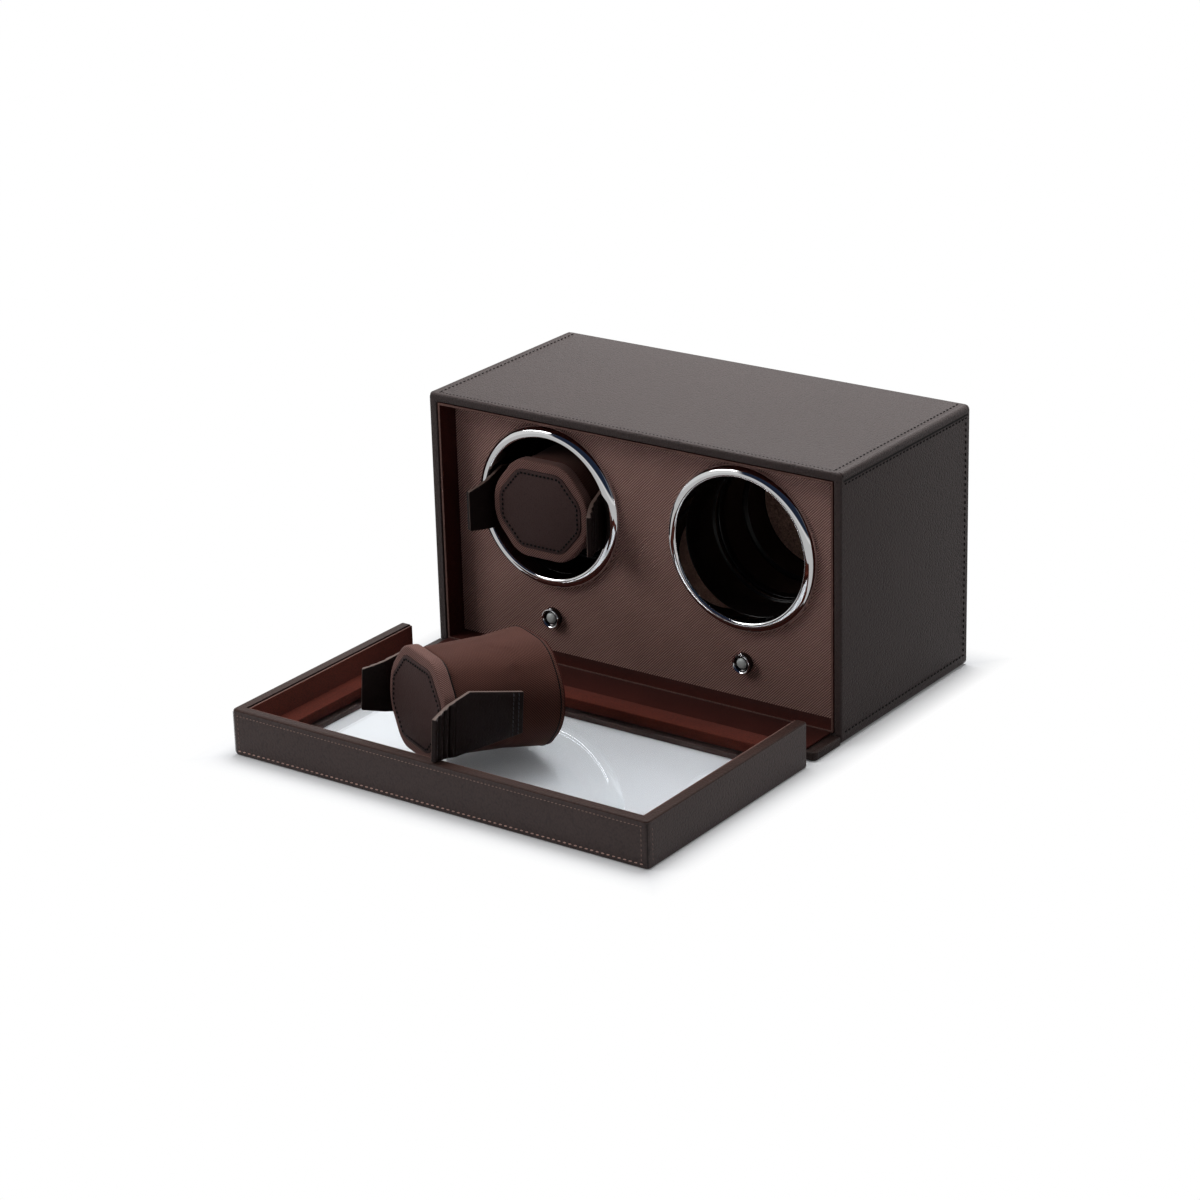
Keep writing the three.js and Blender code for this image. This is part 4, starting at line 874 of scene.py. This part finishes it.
# Works inside the cabinet: moulded gear chassis, gears and pinions, gearmotors, shoulder
# screws, the control board, the cells with their contacts, magnets and catch plates.
dress(worn_finish("gear_plastic", tone(226, 222, 208), tone(208, 203, 188), 0.4, 0.15, 800.0, 0.00002),
      *both("drum_gear", "pinion"))
dress(worn_finish("board_green", tone(30, 92, 54), tone(18, 68, 38), 0.35, 0.2, 900.0, 0.00003),
      "control_board")
dress(worn_finish("magnet_nickel", tone(140, 140, 144), tone(118, 118, 122), 0.2, 0.2, 300.0, Metallic=1),
      *both("catch_magnet"))
dress(worn_finish("cell_wrap", tone(60, 60, 64), tone(44, 44, 48), 0.3, 0.15, 120.0, 0.000004),
      "battery_cell_lower", "battery_cell_upper")
dress(steel, "battery_spring", "battery_contact", *both("gear_motor", "drum_axle", "catch_plate"))

# Cuffs: two cushions that a watch is closed round. A cap and a flared barrel of foam are
# covered with brown cloth and sewn at the edges, with a bare leather badge let into the
# cap. Both cuffs are alike: one is seated in the left drum, one lies in the lid.
cuff_depth = 0.07
cap_size = (0.0315, 0.0283)
cap_depth = 0.008
corner_cut = (0.48, 0.67)
badge_size = (0.0279, 0.0232)
badge_corner = 0.0042
barrel_reach = 0.0375
padded_reach = 0.0379
waist = 0.0306
flare_start = 0.0453
padding_steps = 20


def octagon_block(name, front, rear, half_width, half_height, ease=0.0):
    piece = add_shape(
        name, bpy.ops.mesh.primitive_cube_add, size=2, location=(0, (front + rear) / 2, 0),
        scale=(1 / corner_cut[0], (rear - front) / 2, 1 / corner_cut[1]))
    settle()
    round_edges(piece, 1.0, 1, lambda edge: along(edge, 1))
    bpy.ops.transform.resize(
        value=(half_width * corner_cut[0], 1, half_height * corner_cut[1]), center_override=(0, 0, 0))
    settle()
    if ease:
        round_edges(piece, ease, 5, lambda edge: along(edge, 1))
    return piece


def pad_out(piece, voxel, pressure, most, relaxing=4):
    """Remeshes a closed cover and blows it up over its foam, by at most the given distance."""
    apply_modifier(piece, "REMESH", mode="VOXEL", voxel_size=voxel, use_smooth_shade=True)
    apply_modifier(piece, "SMOOTH", factor=0.5, iterations=relaxing)
    start = [vertex.co.copy() for vertex in piece.data.vertices]
    only(piece)
    cover = piece.modifiers.new("Cover", "CLOTH")
    for key, value in {
        "quality": 4, "mass": 0.3, "tension_stiffness": 20, "compression_stiffness": 20,
        "bending_stiffness": 1.0, "use_pressure": True, "uniform_pressure_force": pressure,
    }.items():
        setattr(cover.settings, key, value)
    cover.settings.effector_weights.gravity = 0
    cover.point_cache.frame_start, cover.point_cache.frame_end = 1, padding_steps
    for moment in range(1, padding_steps + 1):
        scene.frame_set(moment)
    bpy.ops.object.modifier_apply(modifier=cover.name)
    scene.frame_set(1)
    for vertex, before in zip(piece.data.vertices, start):
        move = vertex.co - before
        if move.length > most:
            vertex.co = before + move.normalized() * most
    apply_modifier(piece, "SMOOTH", factor=0.5, iterations=2)
    apply_modifier(piece, "SUBSURF", levels=1, render_levels=1)
    smooth(piece, 60)


def lay_cloth(piece, radius=0.031):
    """A UV map in metres: wound round the cuff on its sides, flat on its two ends."""
    while piece.data.uv_layers:
        piece.data.uv_layers.remove(piece.data.uv_layers[0])
    layer = piece.data.uv_layers.new(name="cloth")
    mesh = piece.data
    for face in mesh.polygons:
        flat = abs(face.normal.y) > 0.7
        middle = math.atan2(face.center.x, face.center.z)
        for index in face.loop_indices:
            at = mesh.vertices[mesh.loops[index].vertex_index].co
            turn = math.atan2(at.x, at.z)
            turn -= round((turn - middle) / (2 * math.pi)) * 2 * math.pi
            layer.data[index].uv = (at.x, at.z) if flat else (turn * radius, at.y)


cap = octagon_block("cap", 0.0003, cap_depth - 0.0002, cap_size[0] + 0.0009, cap_size[1] + 0.0004, 0.0068)
soften(cap, 0.0012, 4, 60)
pad_out(cap, 0.0008, 3.0, 0.0004, 2)
cut_away(cap, octagon_block("pocket", -0.01, 0.0009, *(half + 0.0002 for half in badge_size), badge_corner))
lay_cloth(cap)

barrel_front, barrel_rear = cap_depth + 0.0004, cuff_depth - 0.0003
barrel = octagon_block("barrel", barrel_front, barrel_rear, 1.0, 1.0)
round_edges(barrel, 0.27, 6, lambda edge: along(edge, 1))
edit(barrel, "edges", lambda edge: along(edge, 1), bpy.ops.mesh.subdivide, number_cuts=40)


def barrel_half(depth):
    """Half width and half height of the barrel at a depth behind the cap's face."""
    rise = (depth - cap_depth) / (cuff_depth - 0.0034 - cap_depth)
    height = 0.0272 + 0.0026 * min(1.0, rise)
    if depth < flare_start:
        return waist - 0.0006 * (flare_start - depth) / (flare_start - cap_depth), height
    return waist + 0.0055 * min(1.0, (depth - flare_start) / 0.0213), height


def hold_within(piece, radius):
    """Pulls in what stands further out than the drum's bore leaves room for."""
    for vertex in piece.data.vertices:
        share = min(1.0, radius / max(math.hypot(vertex.co.x, vertex.co.z), 1e-6))
        vertex.co.x *= share
        vertex.co.z *= share


for vertex in barrel.data.vertices:
    width, height = barrel_half(vertex.co.y)
    vertex.co.x *= width
    vertex.co.z *= height
hold_within(barrel, barrel_reach)
soften(barrel, 0.0011, 3, 60)
pad_out(barrel, 0.0013, 4.0, 0.0009)
hold_within(barrel, padded_reach)
lay_cloth(barrel)


def sewn_ring(name, pad, depth, thickness, count=96):
    """A closed cord laid on a padded piece, all round it at one depth."""
    curve = bpy.data.curves.new(name, "CURVE")
    curve.dimensions = "3D"
    curve.bevel_depth = thickness
    curve.bevel_resolution = 2
    line = curve.splines.new("POLY")
    line.points.add(count - 1)
    line.use_cyclic_u = True
    for step, point in enumerate(line.points):
        angle = 2 * math.pi * step / count
        away = Vector((math.sin(angle), 0, math.cos(angle)))
        at = pad.ray_cast(Vector((0, depth, 0)) + away * 0.08, -away)[1]
        point.co = (*at, 1)
    ring = bpy.data.objects.new(name, curve)
    scene.collection.objects.link(ring)
    only(ring)
    bpy.ops.object.convert(target="MESH")
    smooth(ring, 80)
    return ring


bpy.context.view_layer.update()
piping = sewn_ring("piping", barrel, cuff_depth - 0.0036, 0.00032)
end_cord = sewn_ring("end_cord", barrel, cuff_depth - 0.0013, 0.0004)
# A dark ring on the barrel just behind the cap: painted shadow of the gap under the cap's edge
cap_seam = sewn_ring("cap_seam", barrel, cap_depth + 0.0009, 0.00075)

# Badge: a bare piece of thick leather let into the cap, sewn round its border
badge = octagon_block("badge", -0.0004, 0.0008, *badge_size, badge_corner)
soften(badge, 0.0004, 3, 60)
smooth(badge)


def stitch_path(name, corners, depth, pitch, length, width):
    """Stitches along a closed outline in the plane of the cap's face."""
    single = thread("single")
    stitches = bmesh.new()
    for start, end in zip(corners, corners[1:] + corners[:1]):
        run = end - start
        count = max(1, round(run.length / pitch))
        turn = Matrix.Rotation(-math.atan2(run.y, run.x), 4, "Y")
        for step in range(count):
            at = start + run * (step + 0.5) / count
            one = single.data.copy()
            one.transform(Matrix.Translation((at.x, depth, at.y)) @ turn
                          @ Matrix.Diagonal((length, width * 0.7, width, 1)))
            stitches.from_mesh(one)
            bpy.data.meshes.remove(one)
    row = bpy.data.objects.new(name, bpy.data.meshes.new(name))
    scene.collection.objects.link(row)
    stitches.to_mesh(row.data)
    stitches.free()
    bpy.data.objects.remove(single)
    smooth(row, 80)
    return row


def octagon_corners(half_width, half_height):
    cut_x, cut_z = half_width * corner_cut[0], half_height * corner_cut[1]
    quarter = [(half_width, half_height - cut_z), (half_width - cut_x, half_height)]
    return [Vector(p) for p in (
        *quarter, *((-x, z) for x, z in reversed(quarter)), *((-x, -z) for x, z in quarter),
        *((x, -z) for x, z in reversed(quarter)))]


badge_stitches = stitch_path(
    "badge_stitches", octagon_corners(0.0255, 0.021), -0.00052, pitch=0.0026, length=0.0019, width=0.0013)

# Wings: padded leather tabs over a spring steel leaf, sewn to the barrel's sides. They curl
# outwards at the tip, where the leather lies in pleats, and their edges are cut and paler.
wing_root, wing_tip = 0.045, -0.012
wing_top = ((wing_tip, 0.0075), (0.012, 0.0174), (wing_root, 0.0115))
wing_bottom = ((wing_tip, -0.0155), (0.004, -0.017), (wing_root, -0.0115))
wing_thickness = 0.0026
pleat_pitch = 0.0039
pleat_height, pleat_sink, pleat_run = 0.0021, 0.0012, 0.0012
padding_height, padding_sink, padding_run = 0.0006, 0.00035, 0.004
wing_inside = 0.0314
wing_spread = 0.08
wing_tip_out = 0.0426
wing_edge_round = 0.0005


def follow(line, at):
    """The height of a line through three points (place, height) at a place."""
    start, end = line[:2] if at < line[1][0] else line[1:]
    return start[1] + (end[1] - start[1]) * (at - start[0]) / (end[0] - start[0])


def wing_place(depth):
    """Inner face, bottom and top of a wing at a depth behind the cap's face."""
    inner = wing_inside + (wing_root - depth) * wing_spread
    if depth < 0:
        root = wing_inside + wing_root * wing_spread
        inner = root + (wing_tip_out - wing_thickness - root) * (depth / wing_tip) ** 1.25
    return inner, follow(wing_bottom, depth), follow(wing_top, depth)


wing = add_shape("wing", bpy.ops.mesh.primitive_grid_add, x_subdivisions=114, y_subdivisions=22, size=1)
for vertex in wing.data.vertices:
    depth = wing_tip + (vertex.co.x + 0.5) * (wing_root - wing_tip)
    inner, bottom, top = wing_place(depth)
    vertex.co = (inner, depth, bottom + (vertex.co.y + 0.5) * (top - bottom))
edit(wing, "faces", lambda face: True, bpy.ops.mesh.normals_make_consistent, inside=False)
if wing.data.polygons[0].normal.x > 0:
    edit(wing, "faces", lambda face: True, bpy.ops.mesh.flip_normals)
apply_modifier(wing, "SOLIDIFY", thickness=wing_thickness, offset=-1.0)
round_edges(wing, wing_edge_round, 3, sharp)
for vertex in wing.data.vertices:
    inner, bottom, top = wing_place(vertex.co.y)
    from_tip = vertex.co.y - wing_tip
    edge = max(0.0, min(vertex.co.z - bottom, top - vertex.co.z, from_tip, wing_root - vertex.co.y))
    if vertex.co.x > inner + wing_thickness * 0.75:
        swell = padding_height * min(1.0, edge / padding_run) - padding_sink
        if from_tip < 4 * pleat_pitch:
            pleat = abs(math.sin(math.pi * from_tip / pleat_pitch)) ** 0.5 * pleat_height - pleat_sink
            swell = pleat * min(1.0, edge / pleat_run)
        vertex.co.x += swell
smooth(wing, 50)

seam_rows = []
for depth in (0.0385, 0.0418):
    inner, bottom, top = wing_place(depth)
    seam_rows.append((depth, inner + wing_thickness + 0.00035, bottom + 0.0014, top - 0.0014))

# The cap and barrel are one cloth in two tones: the cap's lighter and less red, as painted light on its face
cap_cloth, barrel_cloth = (grouped_finish(
    name, twill, {"Thread": thread, "Gap": gap, "Ribs per Metre": ribs, "Mottle": 0.4},
    0.00012, lambda tree: place_of(tree, "UV"), Specular_IOR_Level=0.12, Sheen_Weight=0.05,
) for name, thread, gap, ribs in (
    ("cap_cloth", tone(134, 99, 92), tone(66, 44, 39), 1000.0),
    ("barrel_cloth", tone(98, 59, 49), tone(44, 23, 18), 1050.0),
))
badge_leather = leather_finish("badge_leather", tone(66, 49, 47), 1500.0, 0.00016, gloss=0.1)
wing_leather = leather_finish("wing_leather", tone(25, 12, 10), 1100.0, 0.00016, gloss=0.15)
wing_edge = leather_finish("wing_cut_edge", tone(92, 72, 64), 2200.0, 0.00006)
badge_thread = leather_finish("badge_thread", tone(9, 4, 4), 3000.0, 0.00004, gloss=0.15)
seam_thread = leather_finish("seam_thread", tone(34, 36, 46), 3000.0, 0.00004, coat=0.3)


def copy_to(model, name, place, sign=1):
    """Copies a model to its place; a sign of -1 mirrors it left to right."""
    piece = model.copy()
    piece.data = model.data.copy()
    piece.name = piece.data.name = name
    scene.collection.objects.link(piece)
    piece.data.transform(place @ Matrix.Diagonal((sign, 1, 1, 1)))
    if sign < 0:
        piece.data.flip_normals()
    return piece


joints = {joint["name"]: joint for joint in frame["joints"]}
right_wing, left_wing = (joints[f"wing_{side}_loose_squeeze"] for side in ("right", "left"))
pivot_depth = 0.0445
right_pivot, left_pivot = Vector(right_wing["pos_m"]), Vector(left_wing["pos_m"])
loose_x = (right_pivot - left_pivot).normalized()
loose_z = Vector(left_wing["axis"]).normalized()
loose_y = loose_z.cross(loose_x)
loose_origin = (right_pivot + left_pivot) / 2 - loose_y * pivot_depth
loose_place = Matrix.Translation(loose_origin) @ Matrix((loose_x, loose_y, loose_z)).transposed().to_4x4()
seated_place = Matrix.Translation((-0.064, -0.062, 0.0935))
for name, place in (("seated", seated_place), ("loose", loose_place)):
    for model, material, slot, nodes in (
        (cap, cap_cloth, "cuff_fabric", (f"cuff_cap_{name}",)),
        (barrel, barrel_cloth, "cuff_fabric", (f"cuff_barrel_{name}",)),
        (badge, badge_leather, "badge_leather", (f"cuff_badge_{name}",)),
        (badge_stitches, badge_thread, "badge_leather", ()),
        (piping, seam_shadow, "cuff_fabric", ()),
        (end_cord, lining_cloth, "cuff_fabric", ()),
        (cap_seam, seam_shadow, "cuff_fabric", ()),
    ):
        piece = copy_to(model, f"{model.name}_{name}", place)
        finish_piece(piece, material, f"cuff_{name}", slot, *nodes)
    for side, sign in sides:
        wing_body = f"wing_{side}_{name}"
        piece = copy_to(wing, f"wing_cover_{side}_{name}", place, sign)
        finish_piece(piece, wing_leather, wing_body, "wing_leather", f"cuff_wing_{side}_{name}")
        piece.data.materials.append(wing_edge)
        for face, plain in zip(piece.data.polygons, wing.data.polygons):
            if abs(plain.normal.x) < 0.3:
                face.material_index = 1
        for number, (depth, across, low, high) in enumerate(seam_rows, 1):
            stitch_row(
                f"wing_stitches_{number}_{side}_{name}", place @ Vector((sign * across, depth, low)),
                place @ Vector((sign * across, depth, high)), place.to_3x3() @ Vector((sign, 0, 0)),
                seam_thread, wing_body, pitch=0.0022, length=0.0021, width=0.0005)
for model in (cap, barrel, badge, badge_stitches, piping, end_cord, cap_seam, wing):
    bpy.data.objects.remove(model)
